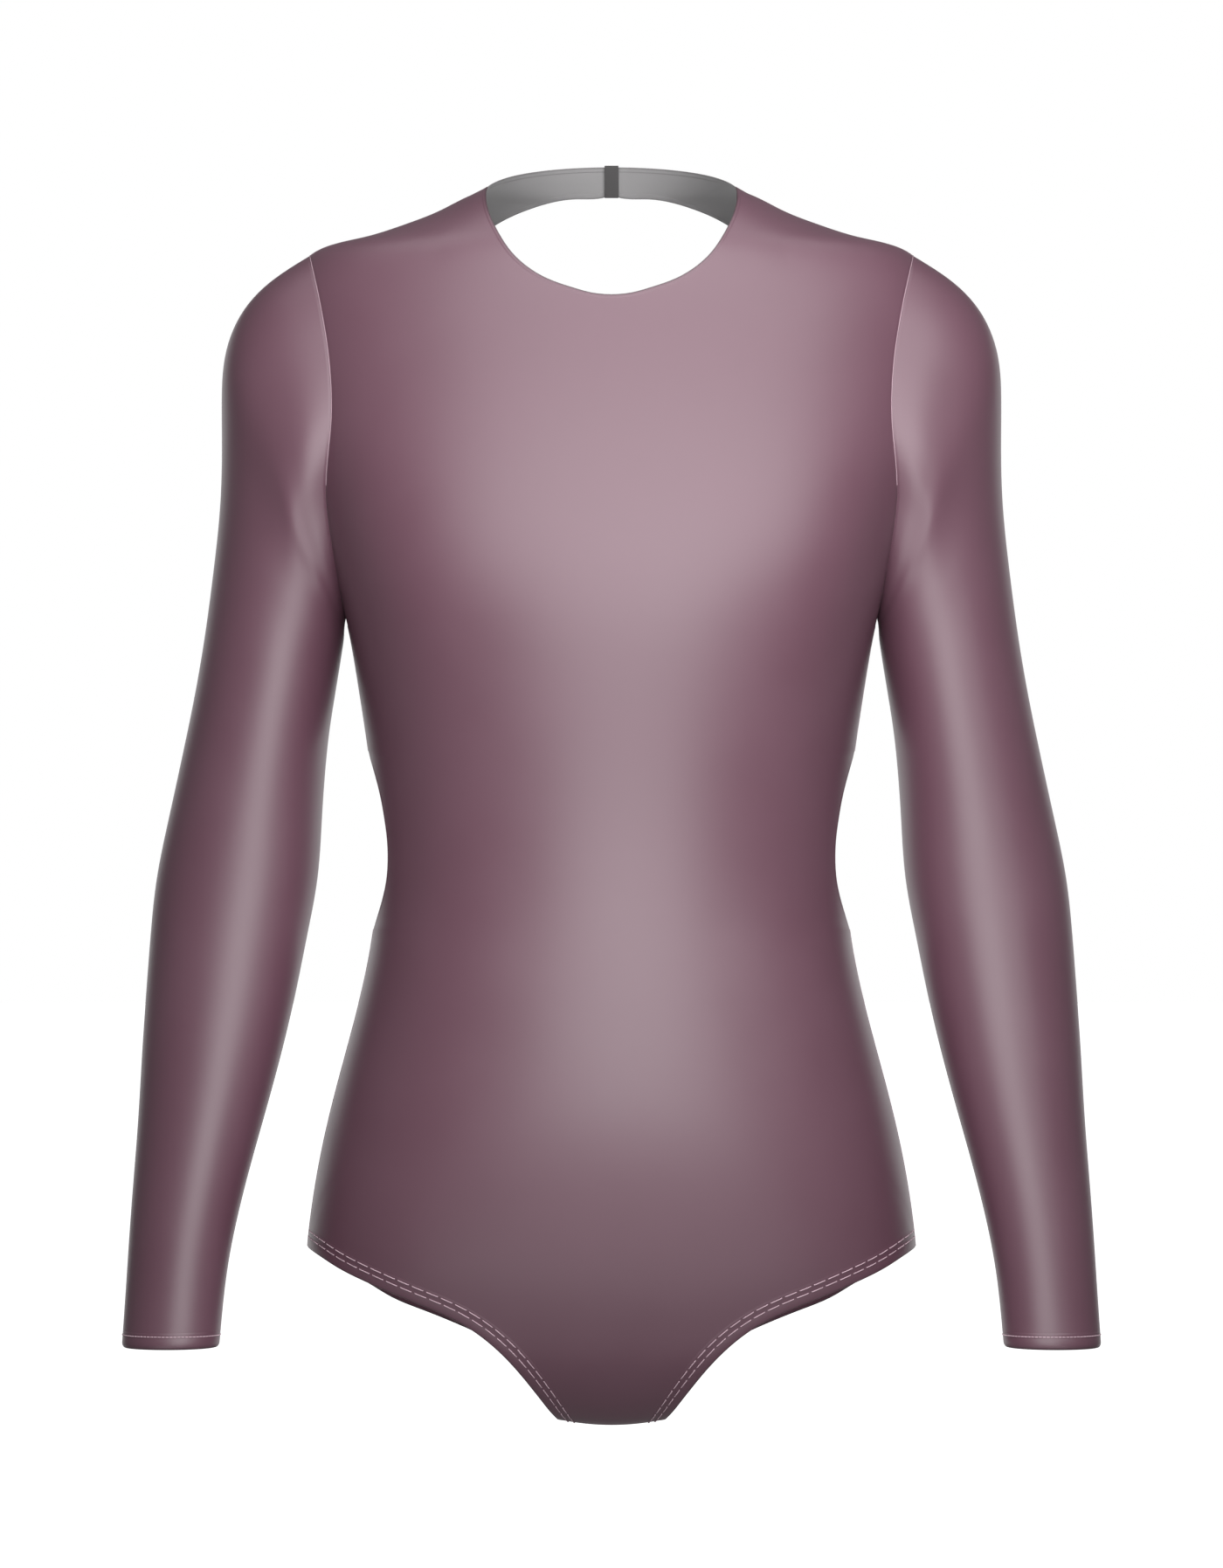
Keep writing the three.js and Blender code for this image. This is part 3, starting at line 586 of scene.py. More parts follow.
@dataclass
class ClothWall:
    """A thin wall of cloth over a grid of outside points.

    Free edges bulge by the roll. Sewn edges are square and stand a hair back from their neighbour.
    """

    name: str
    points: Array
    normals: Array
    closed_round: bool = False
    free_top: bool = False
    free_foot: bool = False
    free_sides: Array | None = None
    thickness: float = 0.6
    roll: float = 0.3
    seam_gap: float = 0.06

    def build(self, distances: dict[str, Array]) -> bpy.types.Object:
        """Makes the wall.

        Args:
            distances: Distances of the grid points from edges, hems and seams, by attribute name.

        Returns:
            The new object.
        """
        points = self._stand_back()
        outer = points.reshape(-1, 3)
        inner = (points - self.normals * self.thickness).reshape(-1, 3)
        vertices = [outer, inner]
        size = len(outer)
        grid = np.arange(size).reshape(points.shape[:2])
        here = grid if self.closed_round else grid[:, :-1]
        there = np.roll(grid, -1, axis=1) if self.closed_round else grid[:, 1:]
        quads = np.stack([here[:-1], there[:-1], there[1:], here[1:]], axis=-1).reshape(-1, 4)
        faces, layers = [quads, quads[:, ::-1] + size], [Layer.OUTSIDE, Layer.INSIDE]
        sharp: list[Array] = []
        start = 2 * size
        for line, nextin, outward_right, free in self._edges(grid):
            away = unit(outer[line] - outer[nextin])
            bulge = np.where(free, self.roll, 0.0)[:, None]
            vertices.append((outer[line] + inner[line]) / 2 + away * bulge)
            rim = np.arange(start, start + len(line))
            start += len(line)
            for upper, lower in ((line, rim), (rim, line + size)):
                strip = np.stack([upper, lower, np.roll(lower, -1), np.roll(upper, -1)], axis=-1)
                strip = strip if self.closed_round else strip[:-1]
                faces.append(strip if outward_right else strip[:, ::-1])
                layers.append(Layer.EDGE)
            for edge in (line, line + size):
                ends = np.stack([edge, np.roll(edge, -1)], axis=-1)
                sharp.append(ends if self.closed_round else ends[:-1])
        return self._mesh(vertices, faces, layers, sharp, distances)

    def _edges(self, grid: Array) -> list[tuple[Array, Array, bool, Array]]:
        """The grid's edges.

        Args:
            grid: Indices of the points.

        Returns:
            For each edge its points, the points next in, its way round, and which points are free.
        """
        rows, columns = grid.shape
        top = (grid[0], grid[1], False, np.full(columns, self.free_top))
        foot = (grid[-1], grid[-2], True, np.full(columns, self.free_foot))
        if self.closed_round:
            return [top, foot]
        free = np.zeros((2, rows), bool) if self.free_sides is None else self.free_sides
        return [
            top,
            foot,
            (grid[:, 0], grid[:, 1], True, free[0]),
            (grid[:, -1], grid[:, -2], False, free[1]),
        ]

    def _stand_back(self) -> Array:
        """The outside points, with each sewn edge drawn back a hair.

        Returns:
            The grid of points.
        """
        rows, columns, _ = self.points.shape
        flat = self.points.reshape(-1, 3)
        moved = flat.copy()
        for line, nextin, _, free in self._edges(np.arange(len(flat)).reshape(rows, columns)):
            inward = unit(flat[nextin] - flat[line])
            moved[line] += inward * np.where(free, 0.0, self.seam_gap)[:, None]
        return moved.reshape(self.points.shape)

    def _mesh(
        self,
        vertices: list[Array],
        faces: list[Array],
        layers: list[Layer],
        sharp: list[Array],
        distances: dict[str, Array],
    ) -> bpy.types.Object:
        """Puts the mesh together and stores the distances on it.

        Args:
            vertices: The outer points, the inner points and the rims.
            faces: Runs of faces.
            layers: The layer of each run.
            sharp: Runs of point pairs whose edges stay sharp.
            distances: Distances of the grid points, by attribute name.

        Returns:
            The new object.
        """
        everything = np.concatenate(vertices)
        piece = smooth_object(self.name, everything, np.concatenate(faces).tolist())
        data = piece.data
        index = np.concatenate([np.full(len(f), layer.value) for f, layer in zip(faces, layers)])
        data.polygons.foreach_set("material_index", index.astype(np.int32))
        rims = len(everything) - 2 * self.points[..., 0].size
        for name, distance in distances.items():
            at_rims = np.full(rims, FAR_MM if name == "seam_mm" else 0.0)
            flat = np.concatenate([distance.ravel(), distance.ravel(), at_rims])
            data.attributes.new(name, "FLOAT", "POINT").data.foreach_set("value", flat)
        marked = {tuple(sorted(pair)) for pair in np.concatenate(sharp).tolist()}
        pairs = np.empty(2 * len(data.edges), np.int32)
        data.edges.foreach_get("vertices", pairs)
        flags = [tuple(sorted(pair)) in marked for pair in pairs.reshape(-1, 2).tolist()]
        data.attributes.new("sharp_edge", "BOOLEAN", "EDGE").data.foreach_set("value", flags)
        data.validate()
        return piece


def link(piece: bpy.types.Object) -> bpy.types.Object:
    """Puts an object in the scene."""
    bpy.context.scene.collection.objects.link(piece)
    return piece


def smooth_object(name: str, points: Array, faces: list[list[int]]) -> bpy.types.Object:
    """Makes a mesh object with smooth faces.

    Args:
        name: Its name.
        points: Its points, in millimetres.
        faces: Indices of each face's points.

    Returns:
        The new object.
    """
    data = bpy.data.meshes.new(name)
    data.from_pydata((points * MM).tolist(), [], faces)
    data.polygons.foreach_set("use_smooth", np.ones(len(data.polygons), bool))
    return link(bpy.data.objects.new(name, data))


def distance_to(points: Array, line: Array) -> Array:
    """The distance of each point from the nearest stretch of a line.

    Args:
        points: Any grid of points.
        line: The line's points, in order.

    Returns:
        Distances, in the shape of the grid.
    """
    flat = points.reshape(-1, 1, 3)
    best = np.full(len(flat), np.inf)
    for begin in range(0, len(line) - 1, CHUNK):
        a = line[begin : begin + CHUNK + 1]
        start, along = a[:-1][None], np.diff(a, axis=0)[None]
        span = np.maximum(np.sum(along**2, axis=-1), 1e-9)
        share = np.clip(np.sum((flat - start) * along, axis=-1) / span, 0, 1)
        gap = np.linalg.norm(flat - start - share[..., None] * along, axis=-1).min(axis=1)
        best = np.minimum(best, gap)
    return best.reshape(points.shape[:-1])


def nearest(points: Array, lines: Sequence[Array]) -> Array:
    """The distance of each point from the nearest of several lines."""
    distances = [distance_to(points, line) for line in lines]
    return np.min(distances, axis=0) if distances else np.full(points.shape[:-1], FAR_MM)


def mirrored(points: Array) -> Array:
    """Points or directions on the other side of the centre line."""
    return points * [-1, 1, 1]


# Finishes


class Plug(NamedTuple):
    """An input or output of a shader group: its name, its kind of socket and its value at first."""

    name: str
    kind: str
    value: float | tuple | None = None


class NodeTree:
    """A node tree under construction, with the few ways of adding to it that the finishes need."""

    def __init__(self, tree: bpy.types.NodeTree) -> None:
        """Wraps a tree."""
        self.tree = tree

    def feed(self, socket: bpy.types.NodeSocket, value: object) -> None:
        """Links a socket to another, or sets its value.

        Args:
            socket: The input.
            value: A socket to link from, or a value.
        """
        if isinstance(value, bpy.types.NodeSocket):
            self.tree.links.new(value, socket)
        else:
            socket.default_value = value

    def node(self, kind: str, settings: dict | None = None, **inputs: object) -> bpy.types.Node:
        """Adds a node.

        Args:
            kind: The node's type.
            settings: Its properties.
            **inputs: Sockets to link from, or values, by input name with _ for a space.

        Returns:
            The node.
        """
        node = self.tree.nodes.new(kind)
        for key, value in (settings or {}).items():
            setattr(node, key, value)
        for key, value in inputs.items():
            self.feed(node.inputs[key.replace("_", " ")], value)
        return node

    def math(self, operation: str, *values: object, clamp: bool = False) -> bpy.types.NodeSocket:
        """Adds a Math node.

        Args:
            operation: What it does.
            *values: Sockets or numbers.
            clamp: Whether the result is kept from 0 to 1.

        Returns:
            Its result.
        """
        node = self.node("ShaderNodeMath", {"operation": operation, "use_clamp": clamp})
        for socket, value in zip(node.inputs, values):
            self.feed(socket, value)
        return node.outputs[0]

    def ramp(
        self, value: object, low: float, high: float, to: tuple[float, float] = (0, 1)
    ) -> bpy.types.NodeSocket:
        """Adds a clamped Map Range node with soft ends.

        Args:
            value: A socket or number.
            low: Where the ramp starts.
            high: Where it ends.
            to: The results at its two ends.

        Returns:
            Its result.
        """
        node = self.node("ShaderNodeMapRange", {"interpolation_type": "SMOOTHSTEP"}, Value=value)
        for key, number in zip(("From Min", "From Max", "To Min", "To Max"), (low, high, *to)):
            node.inputs[key].default_value = number
        return node.outputs["Result"]

    def blend(self, share: object, first: object, second: object) -> bpy.types.NodeSocket:
        """Adds a colour Mix node.

        Args:
            share: How much of the second colour there is.
            first: A socket or colour.
            second: A socket or colour.

        Returns:
            Its result.
        """
        node = self.node("ShaderNodeMix", {"data_type": "RGBA"})
        share_in, first_in, second_in = (node.inputs[i] for i in (0, 6, 7))
        for socket, value in ((share_in, share), (first_in, first), (second_in, second)):
            self.feed(socket, value)
        return node.outputs[2]

    def bump(self, height: object, strength: float, distance_mm: float, **inputs: object) -> object:
        """Adds a Bump node.

        Args:
            height: The socket of the relief.
            strength: How strong it is.
            distance_mm: How high it is.
            **inputs: More sockets to link from.

        Returns:
            Its normal.
        """
        node = self.node("ShaderNodeBump", Strength=strength, Distance=distance_mm * MM, **inputs)
        self.feed(node.inputs["Height"], height)
        return node.outputs[0]


def new_material(name: str) -> tuple[bpy.types.Material, NodeTree, bpy.types.Node]:
    """Starts a material.

    Args:
        name: Its name.

    Returns:
        The material, its tree and its surface shader.
    """
    material = bpy.data.materials.new(name)
    material.use_nodes = True
    return material, NodeTree(material.node_tree), material.node_tree.nodes["Principled BSDF"]


def shader_group(name: str, inputs: Sequence[Plug], outputs: Sequence[Plug]) -> tuple:
    """Starts a shader node group.

    Args:
        name: The group's name.
        inputs: Its inputs.
        outputs: Its outputs.

    Returns:
        The group, its builder, its input node and its output node.
    """
    group = bpy.data.node_groups.new(name, "ShaderNodeTree")
    for way, plugs in (("INPUT", inputs), ("OUTPUT", outputs)):
        for plug in plugs:
            socket = group.interface.new_socket(plug.name, in_out=way, socket_type=plug.kind)
            if plug.value is not None:
                socket.default_value = plug.value
    made = NodeTree(group)
    return group, made, made.node("NodeGroupInput"), made.node("NodeGroupOutput")


# The knit's courses beside its wales, and how softly hems, turnings and seams begin
COURSES_PER_WALE = 0.8
COURSE_DEPTH = 0.35
HEM_FADE = (0.94, 1.06)
TURN_FADE_MM = 0.5
SEAM_DIP_MM = 1.8
# From the edge inwards, where the painted shade at the outermost edge fades out
BRINK_SHADE_MM = (0.1, 1.0)


def knit_group() -> bpy.types.NodeTree:
    """The fine ribs of a warp knit: a height, and a slow unevenness of tone over the cloth.

    Returns:
        The group.
    """
    group, made, given, result = shader_group(
        "fine knit",
        [Plug("Wale mm", "NodeSocketFloat", 0.45), Plug("Unevenness mm", "NodeSocketFloat", 60.0)],
        [Plug("Height", "NodeSocketFloat"), Plug("Tone", "NodeSocketFloat")],
    )
    place = made.node("ShaderNodeTexCoord").outputs["Object"]
    part = made.node("ShaderNodeSeparateXYZ", Vector=place)
    metres = made.math("MULTIPLY", given.outputs["Wale mm"], MM)
    turns = [
        made.math("MULTIPLY", made.math("DIVIDE", part.outputs[axis], metres), 2 * math.pi)
        for axis in ("X", "Y", "Z")
    ]
    wale = made.math("SINE", made.math("ADD", turns[0], turns[1]))
    course = made.math("SINE", made.math("MULTIPLY", turns[2], COURSES_PER_WALE))
    depth = made.math("MULTIPLY_ADD", course, COURSE_DEPTH, 1 - COURSE_DEPTH)
    loops = made.math("MULTIPLY", wale, depth)
    made.feed(result.inputs["Height"], made.math("MULTIPLY_ADD", loops, 0.5, 0.5))
    size = made.math("DIVIDE", 1 / MM, given.outputs["Unevenness mm"])
    cloud = made.node("ShaderNodeTexNoise", Vector=place, Scale=size, Detail=2.0, Roughness=0.5)
    made.feed(result.inputs["Tone"], cloud.outputs[0])
    return group


def turning_group() -> bpy.types.NodeTree:
    """Turned edges and hems, worked out from the distances stored on the cloth.

    Returns:
        The group. Its outputs are the relief, a painted shade line at the turning, the hem, and the painted
        shade at the outermost edge.
    """
    inputs = (("Turning mm", 3.0), ("Line mm", 0.35), ("Band mm", 5.4), ("Roundness", 6.0))
    group, made, given, result = shader_group(
        "turned edge",
        [Plug(name, "NodeSocketFloat", value) for name, value in inputs],
        [Plug(name, "NodeSocketFloat") for name in ("Height", "Line", "Hem", "Brink shade")],
    )
    edge, seam, depth = (
        made.node("ShaderNodeAttribute", {"attribute_name": name}).outputs["Fac"]
        for name in ("edge_mm", "seam_mm", "hem_share")
    )
    hem = made.ramp(depth, *HEM_FADE, (1, 0))
    past = made.math("SUBTRACT", edge, given.outputs["Turning mm"])
    off_line = made.math("DIVIDE", made.math("ABSOLUTE", past), given.outputs["Line mm"])
    line = made.math("SUBTRACT", 1.0, off_line, clamp=True)
    turned = made.ramp(past, -TURN_FADE_MM, TURN_FADE_MM, (1, 0))
    folded = made.math("MAXIMUM", turned, hem)
    near_seam = made.ramp(seam, 0.0, SEAM_DIP_MM, (1, 0))
    across = made.math("DIVIDE", edge, given.outputs["Band mm"])
    arch = made.math("MULTIPLY", across, made.math("SUBTRACT", 1.0, across, clamp=True))
    rounded = made.math("MULTIPLY", made.math("MULTIPLY", arch, hem), given.outputs["Roundness"])
    raised = made.math("ADD", folded, rounded)
    made.feed(result.inputs["Height"], made.math("SUBTRACT", raised, near_seam))
    # Line and Brink are masks of painted shade: a dark line where the cloth turns under, and a darkening at
    # the very edge
    made.feed(result.inputs["Line"], line)
    made.feed(result.inputs["Hem"], hem)
    made.feed(result.inputs["Brink shade"], made.ramp(edge, *BRINK_SHADE_MM, (1, 0)))
    return group


class Effects:
    """The shader groups that several finishes share."""

    def __init__(self) -> None:
        """Builds the groups."""
        self.knit = knit_group()
        self.turning = turning_group()


Colour = tuple[float, float, float, float]
KNIT_HEIGHT_MM = 0.06
FOLD_HEIGHT_MM = 0.3
FOLD_RELIEF = 0.5
CLOUD_RANGE = (0.3, 0.7)
ROUGHNESS_SPREAD = 0.03
SHEEN_ROUGHNESS = 0.35


@dataclass(frozen=True)
class ClothFinish:
    """One face of the satin knit."""

    name: str
    colour: Colour
    uneven_colour: Colour
    # Painted shade: the darker colour laid along the turning line and at the outermost edge
    edge_shade_colour: Colour
    hem_colour: Colour
    roughness: float
    specular: float
    ior: float
    sheen: float
    sheen_tint: Colour
    turning_mm: float
    turning_shade: float
    brink_shade: float
    knit_mm: float
    knit_relief: float

    def material(self, effects: Effects) -> bpy.types.Material:
        """Makes the material.

        Args:
            effects: The shared groups.

        Returns:
            The material.
        """
        material, made, shader = new_material(self.name)
        knit = made.node("ShaderNodeGroup", {"node_tree": effects.knit})
        made.feed(knit.inputs["Wale mm"], self.knit_mm)
        turning = made.node("ShaderNodeGroup", {"node_tree": effects.turning})
        made.feed(turning.inputs["Turning mm"], self.turning_mm)
        tone = made.ramp(knit.outputs["Tone"], *CLOUD_RANGE)
        # Painted shade: a dark line along the turning and a darkening at the very edge, both in the edge
        # colour
        line = made.math("MULTIPLY", turning.outputs["Line"], self.turning_shade)
        brink_painted_shade = made.math("MULTIPLY", turning.outputs["Brink shade"], self.brink_shade)
        colour = made.blend(tone, self.colour, self.uneven_colour)
        colour = made.blend(line, colour, self.edge_shade_colour)
        colour = made.blend(turning.outputs["Hem"], colour, self.hem_colour)
        colour = made.blend(brink_painted_shade, colour, self.edge_shade_colour)
        fine = made.bump(knit.outputs["Height"], self.knit_relief, KNIT_HEIGHT_MM)
        fold = made.bump(turning.outputs["Height"], FOLD_RELIEF, FOLD_HEIGHT_MM, Normal=fine)
        surface = {
            "Base Color": colour,
            "Roughness": made.math("MULTIPLY_ADD", tone, ROUGHNESS_SPREAD, self.roughness),
            "Normal": fold,
            "Specular IOR Level": self.specular,
            "IOR": self.ior,
            "Sheen Weight": self.sheen,
            "Sheen Roughness": SHEEN_ROUGHNESS,
            "Sheen Tint": self.sheen_tint,
        }
        for name, value in surface.items():
            made.feed(shader.inputs[name], value)
        return material


@dataclass(frozen=True)
class FibreFinish:
    """Twisted or woven fibre: thread, or ribbed tape, with painted shade darkening the valleys between its
    ribs.
    """

    name: str
    colour: Colour
    rib_mm: float
    valley_shade: float
    roughness: float
    relief: float
    relief_mm: float

    def material(self, effects: Effects) -> bpy.types.Material:
        """Makes the material.

        Args:
            effects: The shared groups.

        Returns:
            The material.
        """
        material, made, shader = new_material(self.name)
        ribs = made.node("ShaderNodeGroup", {"node_tree": effects.knit})
        made.feed(ribs.inputs["Wale mm"], self.rib_mm)
        height = ribs.outputs["Height"]
        # Painted shade: the colour darkens in the valleys between the ribs
        shaded_valleys = tuple(self.valley_shade * part for part in self.colour[:3]) + (1.0,)
        made.feed(shader.inputs["Base Color"], made.blend(height, shaded_valleys, self.colour))
        made.feed(shader.inputs["Normal"], made.bump(height, self.relief, self.relief_mm))
        made.feed(shader.inputs["Roughness"], self.roughness)
        return material


def thread_finish(name: str, colour: Colour) -> FibreFinish:
    """Twisted polyester thread of one colour."""
    # The valley factor is painted shade in the grooves of the twist
    return FibreFinish(name, colour, rib_mm=0.3, valley_shade=0.93, roughness=0.55, relief=0.15, relief_mm=0.05)


SATIN_OUTSIDE = ClothFinish(
    name="plum satin outside",
    colour=(0.108, 0.046, 0.068, 1),
    uneven_colour=(0.114, 0.05, 0.073, 1),
    # painted shade colour for the turning line and the very edge
    edge_shade_colour=(0.05, 0.022, 0.031, 1),
    hem_colour=(0.108, 0.046, 0.068, 1),
    roughness=0.42,
    specular=0.5,
    ior=1.7,
    sheen=0.0,
    sheen_tint=(0.9, 0.75, 0.82, 1),
    turning_mm=1.6,
    turning_shade=0.12,
    brink_shade=0.75,
    knit_mm=0.5,
    knit_relief=0.12,
)
SATIN_INSIDE = ClothFinish(
    name="grey satin inside",
    colour=(0.215, 0.21, 0.212, 1),
    uneven_colour=(0.228, 0.222, 0.225, 1),
    # painted shade colour for the turning line and the very edge
    edge_shade_colour=(0.1, 0.098, 0.1, 1),
    hem_colour=(0.17, 0.07, 0.104, 1),
    roughness=0.6,
    specular=0.4,
    ior=1.5,
    sheen=0.05,
    sheen_tint=(1, 1, 1, 1),
    turning_mm=2.2,
    turning_shade=0.35,
    brink_shade=0.5,
    knit_mm=0.6,
    knit_relief=0.25,
)
HEM_THREAD = thread_finish("pale mauve thread", (0.56, 0.4, 0.46, 1))
SEAM_THREAD = thread_finish("plum thread", (0.36, 0.25, 0.29, 1))
TAB_TAPE = FibreFinish(
    name="dark grey tape",
    colour=(0.054, 0.051, 0.052, 1),
    rib_mm=0.5,
    # painted shade in the valleys between the tape's ribs
    valley_shade=0.75,
    roughness=0.7,
    relief=0.6,
    relief_mm=0.12,
)

# Pieces


@dataclass
class Closet:
    """What every piece is dressed from: the shared groups and the materials made so far."""

    effects: Effects = field(default_factory=Effects)
    made: dict[str, bpy.types.Material] = field(default_factory=dict)

    def material(self, finish: ClothFinish | FibreFinish) -> bpy.types.Material:
        """The material of a finish, made once.

        Args:
            finish: The finish.

        Returns:
            Its material.
        """
        if finish.name not in self.made:
            self.made[finish.name] = finish.material(self.effects)
        return self.made[finish.name]

    def dress_cloth(self, piece: bpy.types.Object, edge: ClothFinish = SATIN_OUTSIDE) -> None:
        """Gives a cloth wall its outside, inside and edge."""
        for finish in (SATIN_OUTSIDE, SATIN_INSIDE, edge):
            piece.data.materials.append(self.material(finish))

    def dress(self, piece: bpy.types.Object, finish: FibreFinish) -> None:
        """Gives a piece one finish."""
        piece.data.materials.append(self.material(finish))


@dataclass(frozen=True)
class SheetFacts:
    """The flat cut of one panel, in metres and square metres."""

    width: float
    length: float
    area: float


MITRE_COSINE = 0.4


def armhole_normals(turn: Array) -> tuple[Array, Array]:
    """Directions in which the walls are cut along the armhole seam.

    Args:
        turn: Turns round the armhole.

    Returns:
        The body's directions and the sleeve's.
    """
    body = BODY_FORM.normal(SLEEVE_FORM.armhole_places(turn))
    sleeve = SLEEVE_FORM.normal(turn, np.zeros_like(turn))
    shared = np.clip(np.sum(body * sleeve, axis=-1) / MITRE_COSINE, 0, 1)[..., None]
    middle = unit(body + sleeve)
    return unit(body + (middle - body) * shared), unit(sleeve + (middle - sleeve) * shared)


def side_line(from_z: float, to_z: float, steps: int) -> Array:
    """Places at even levels along the side of the body.

    Args:
        from_z: Height of the first place.
        to_z: Height of the last.
        steps: How many steps to take.

    Returns:
        One more place than steps.
    """
    level = np.linspace(*BODY_FORM.level_of(np.array([from_z, to_z])), steps + 1)
    return np.stack([np.zeros_like(level), level], axis=-1)


def both_sides(half: dict[str, Array]) -> dict[str, Array]:
    """Lines on both sides of the body.

    Args:
        half: Places of each line on the left, by name.

    Returns:
        Points of each line, with _left or _right after its name.
    """
    lines = {}
    for name, places in half.items():
        points = BODY_FORM.point(places)
        lines[f"{name}_left"], lines[f"{name}_right"] = points, mirrored(points)
    return lines


def chosen(lines: dict[str, Array], names: tuple[str, ...], ending: str = "") -> list[Array]:
    """Some of the lines.

    Args:
        lines: Lines by name.
        names: How the chosen names start.
        ending: How they end.

    Returns:
        The lines.
    """
    return [line for name, line in lines.items() if name.startswith(names) and name.endswith(ending)]


@dataclass
class Panels:
    """The lines that the panels share, and how finely each is divided."""

    armhole_steps: int = 44
    shoulder_steps: int = 26
    front_neck_steps: int = 40
    back_neck_steps: int = 44
    strap_tail_steps: int = 16
    strap_width_steps: int = 22
    waist_cut_steps: int = 26
    side_steps: int = 26
    leg_steps: int = 56
    leg_line_steps: int = 90
    crotch_steps: int = 11
    lower_back_steps: int = 56
    nape_crowding: float = 1.35

    def armhole(self, face: Face) -> Array:
        """Places down the armhole on one face, from the shoulder to the underarm."""
        turn = np.linspace(0, math.pi, self.armhole_steps + 1)
        return SLEEVE_FORM.armhole_places(turn if face is Face.FRONT else 2 * math.pi - turn)

    def shoulder(self) -> Array:
        """Places along the shoulder seam, from the neck out."""
        return side_line(0.0, SHOULDER_Z, self.shoulder_steps)

    def neckline(self) -> Array:
        """Places down the front neckline.

        Returns:
            Places from the side neck point to the middle.
        """
        curve, end = edge_curve(NECKLINE)

        def place_at(u: Array) -> Array:
            """The neckline's places.

            Args:
                u: From 0 to 1 along it.

            Returns:
                Places on the front.
            """
            x, z = np.moveaxis(curve.at(end * (1 - u * u)), -1, 0)
            places = BODY_FORM.place_on(np.maximum(x, 0), z, Face.FRONT)
            places[u == 0] = 0, BODY_FORM.level_of(0.0)
            return places

        return BODY_FORM.even_places(place_at, self.front_neck_steps)

    def leg(self, edge: Sequence[EdgePoint], face: Face, steps: int) -> Array:
        """Places down a leg opening.

        Args:
            edge: The leg opening.
            face: Front or back.
            steps: How many steps to take.

        Returns:
            Places from the side seam to the crotch seam.
        """
        curve, end = edge_curve(edge)

        def place_at(u: Array) -> Array:
            """The opening's places as a function of 0 to 1."""
            x, z = np.moveaxis(curve.at(end * u * u), -1, 0)
            return BODY_FORM.place_on(x, z, face)

        return BODY_FORM.even_places(place_at, steps)

    def hip_rows(self, edge: Sequence[EdgePoint], face: Face, steps: int, top_z: float) -> Array:
        """Rows from the end of the waist cut to the crotch.

        Args:
            edge: The leg opening.
            face: Front or back.
            steps: How many steps from side to middle.
            top_z: Height of the first row's middle.

        Returns:
            A grid of places, each row from the side to the middle.
        """
        seam = side_line(WAIST_CUT_END_Z, LEG_CORNER_Z, self.side_steps)
        sides = np.concatenate([seam, self.leg(edge, face, self.leg_steps)[1:]])
        middle = np.linspace(BODY_FORM.level_of(top_z), BODY_FORM.end, len(sides))[:, None]
        share = np.linspace(0, 1, steps + 1)[None]
        angle = sides[:, :1] + (face.value * math.pi / 2 - sides[:, :1]) * share
        level = middle + (sides[:, 1:] - middle) * (1 - share) ** 2
        return np.stack([angle, level], axis=-1)

    def front_grid(self) -> tuple[Array, int]:
        """The left half of the front.

        The yoke's rows fan out from the neck and the shoulder down to the armhole. The rows below are level.

        Returns:
            Its places, row by row, and how many rows lie on the armhole.
        """
        neck, shoulder, armhole = self.neckline(), self.shoulder(), self.armhole(Face.FRONT)
        top = np.concatenate([shoulder[:0:-1], neck])
        steps = len(top) - 1
        share = np.linspace(0, 1, steps + 1)

        def level_rows(sides: Array) -> Array:
            """Level rows from places on the side to the middle."""
            angle = sides[:, :1] + (math.pi / 2 - sides[:, :1]) * share
            return np.stack([angle, np.repeat(sides[:, 1:], steps + 1, axis=1)], axis=-1)

        lowest = int(np.argmax(armhole[:, 1] > BODY_FORM.level_of(YOKE_Z)))
        below = level_rows(armhole[lowest:])
        top_seen, foot_seen = BODY_FORM.seen_from_above(top), BODY_FORM.seen_from_above(below[0])
        side_seen = BODY_FORM.seen_from_above(armhole[1:lowest])
        down = (side_seen[:, 1] - top_seen[0, 1]) / (foot_seen[0, 1] - top_seen[0, 1])
        across = (down**YOKE_FLARE)[:, None]
        bulge = side_seen[:, :1] - (top_seen[0, 0] + (foot_seen[0, 0] - top_seen[0, 0]) * across)
        x = top_seen[:, 0] + (foot_seen[:, 0] - top_seen[:, 0]) * across + bulge * (1 - share)
        drop = top_seen[:, 1] + (foot_seen[:, 1] - top_seen[:, 1]) * down[:, None]
        x[:, -1] = 0
        yoke = BODY_FORM.place_seen_from_above(x, drop)
        yoke[:, 0] = armhole[1:lowest]

        tail, cut = self.strap_tail(), self.waist_cut()
        hips = self.hip_rows(FRONT_LEG, Face.FRONT, steps, WAIST_CUT_END_Z)[1:]
        rows = [top[None], yoke, below, level_rows(tail), level_rows(cut), hips]
        return np.concatenate(rows), self.armhole_steps + 1

    def strap_tail(self) -> Array:
        """Places down the side seam from the underarm to the strap's tip, without the first."""
        level = BODY_FORM.level_of(np.linspace(UNDERARM_Z, STRAP_TIP_Z, self.strap_tail_steps + 1)[1:])
        return np.stack([np.zeros_like(level), level], axis=-1)

    def waist_cut(self) -> Array:
        """Places down the waist cut of the front.

        Returns:
            Places from the strap's tip to the hip seam, without the first.
        """
        z = np.linspace(STRAP_TIP_Z, WAIST_CUT_END_Z, self.waist_cut_steps + 1)[1:]
        places = BODY_FORM.place_on(edge_by_height(WAIST_CUT)(z), z, Face.FRONT)
        places[-1, 0] = 0
        return places

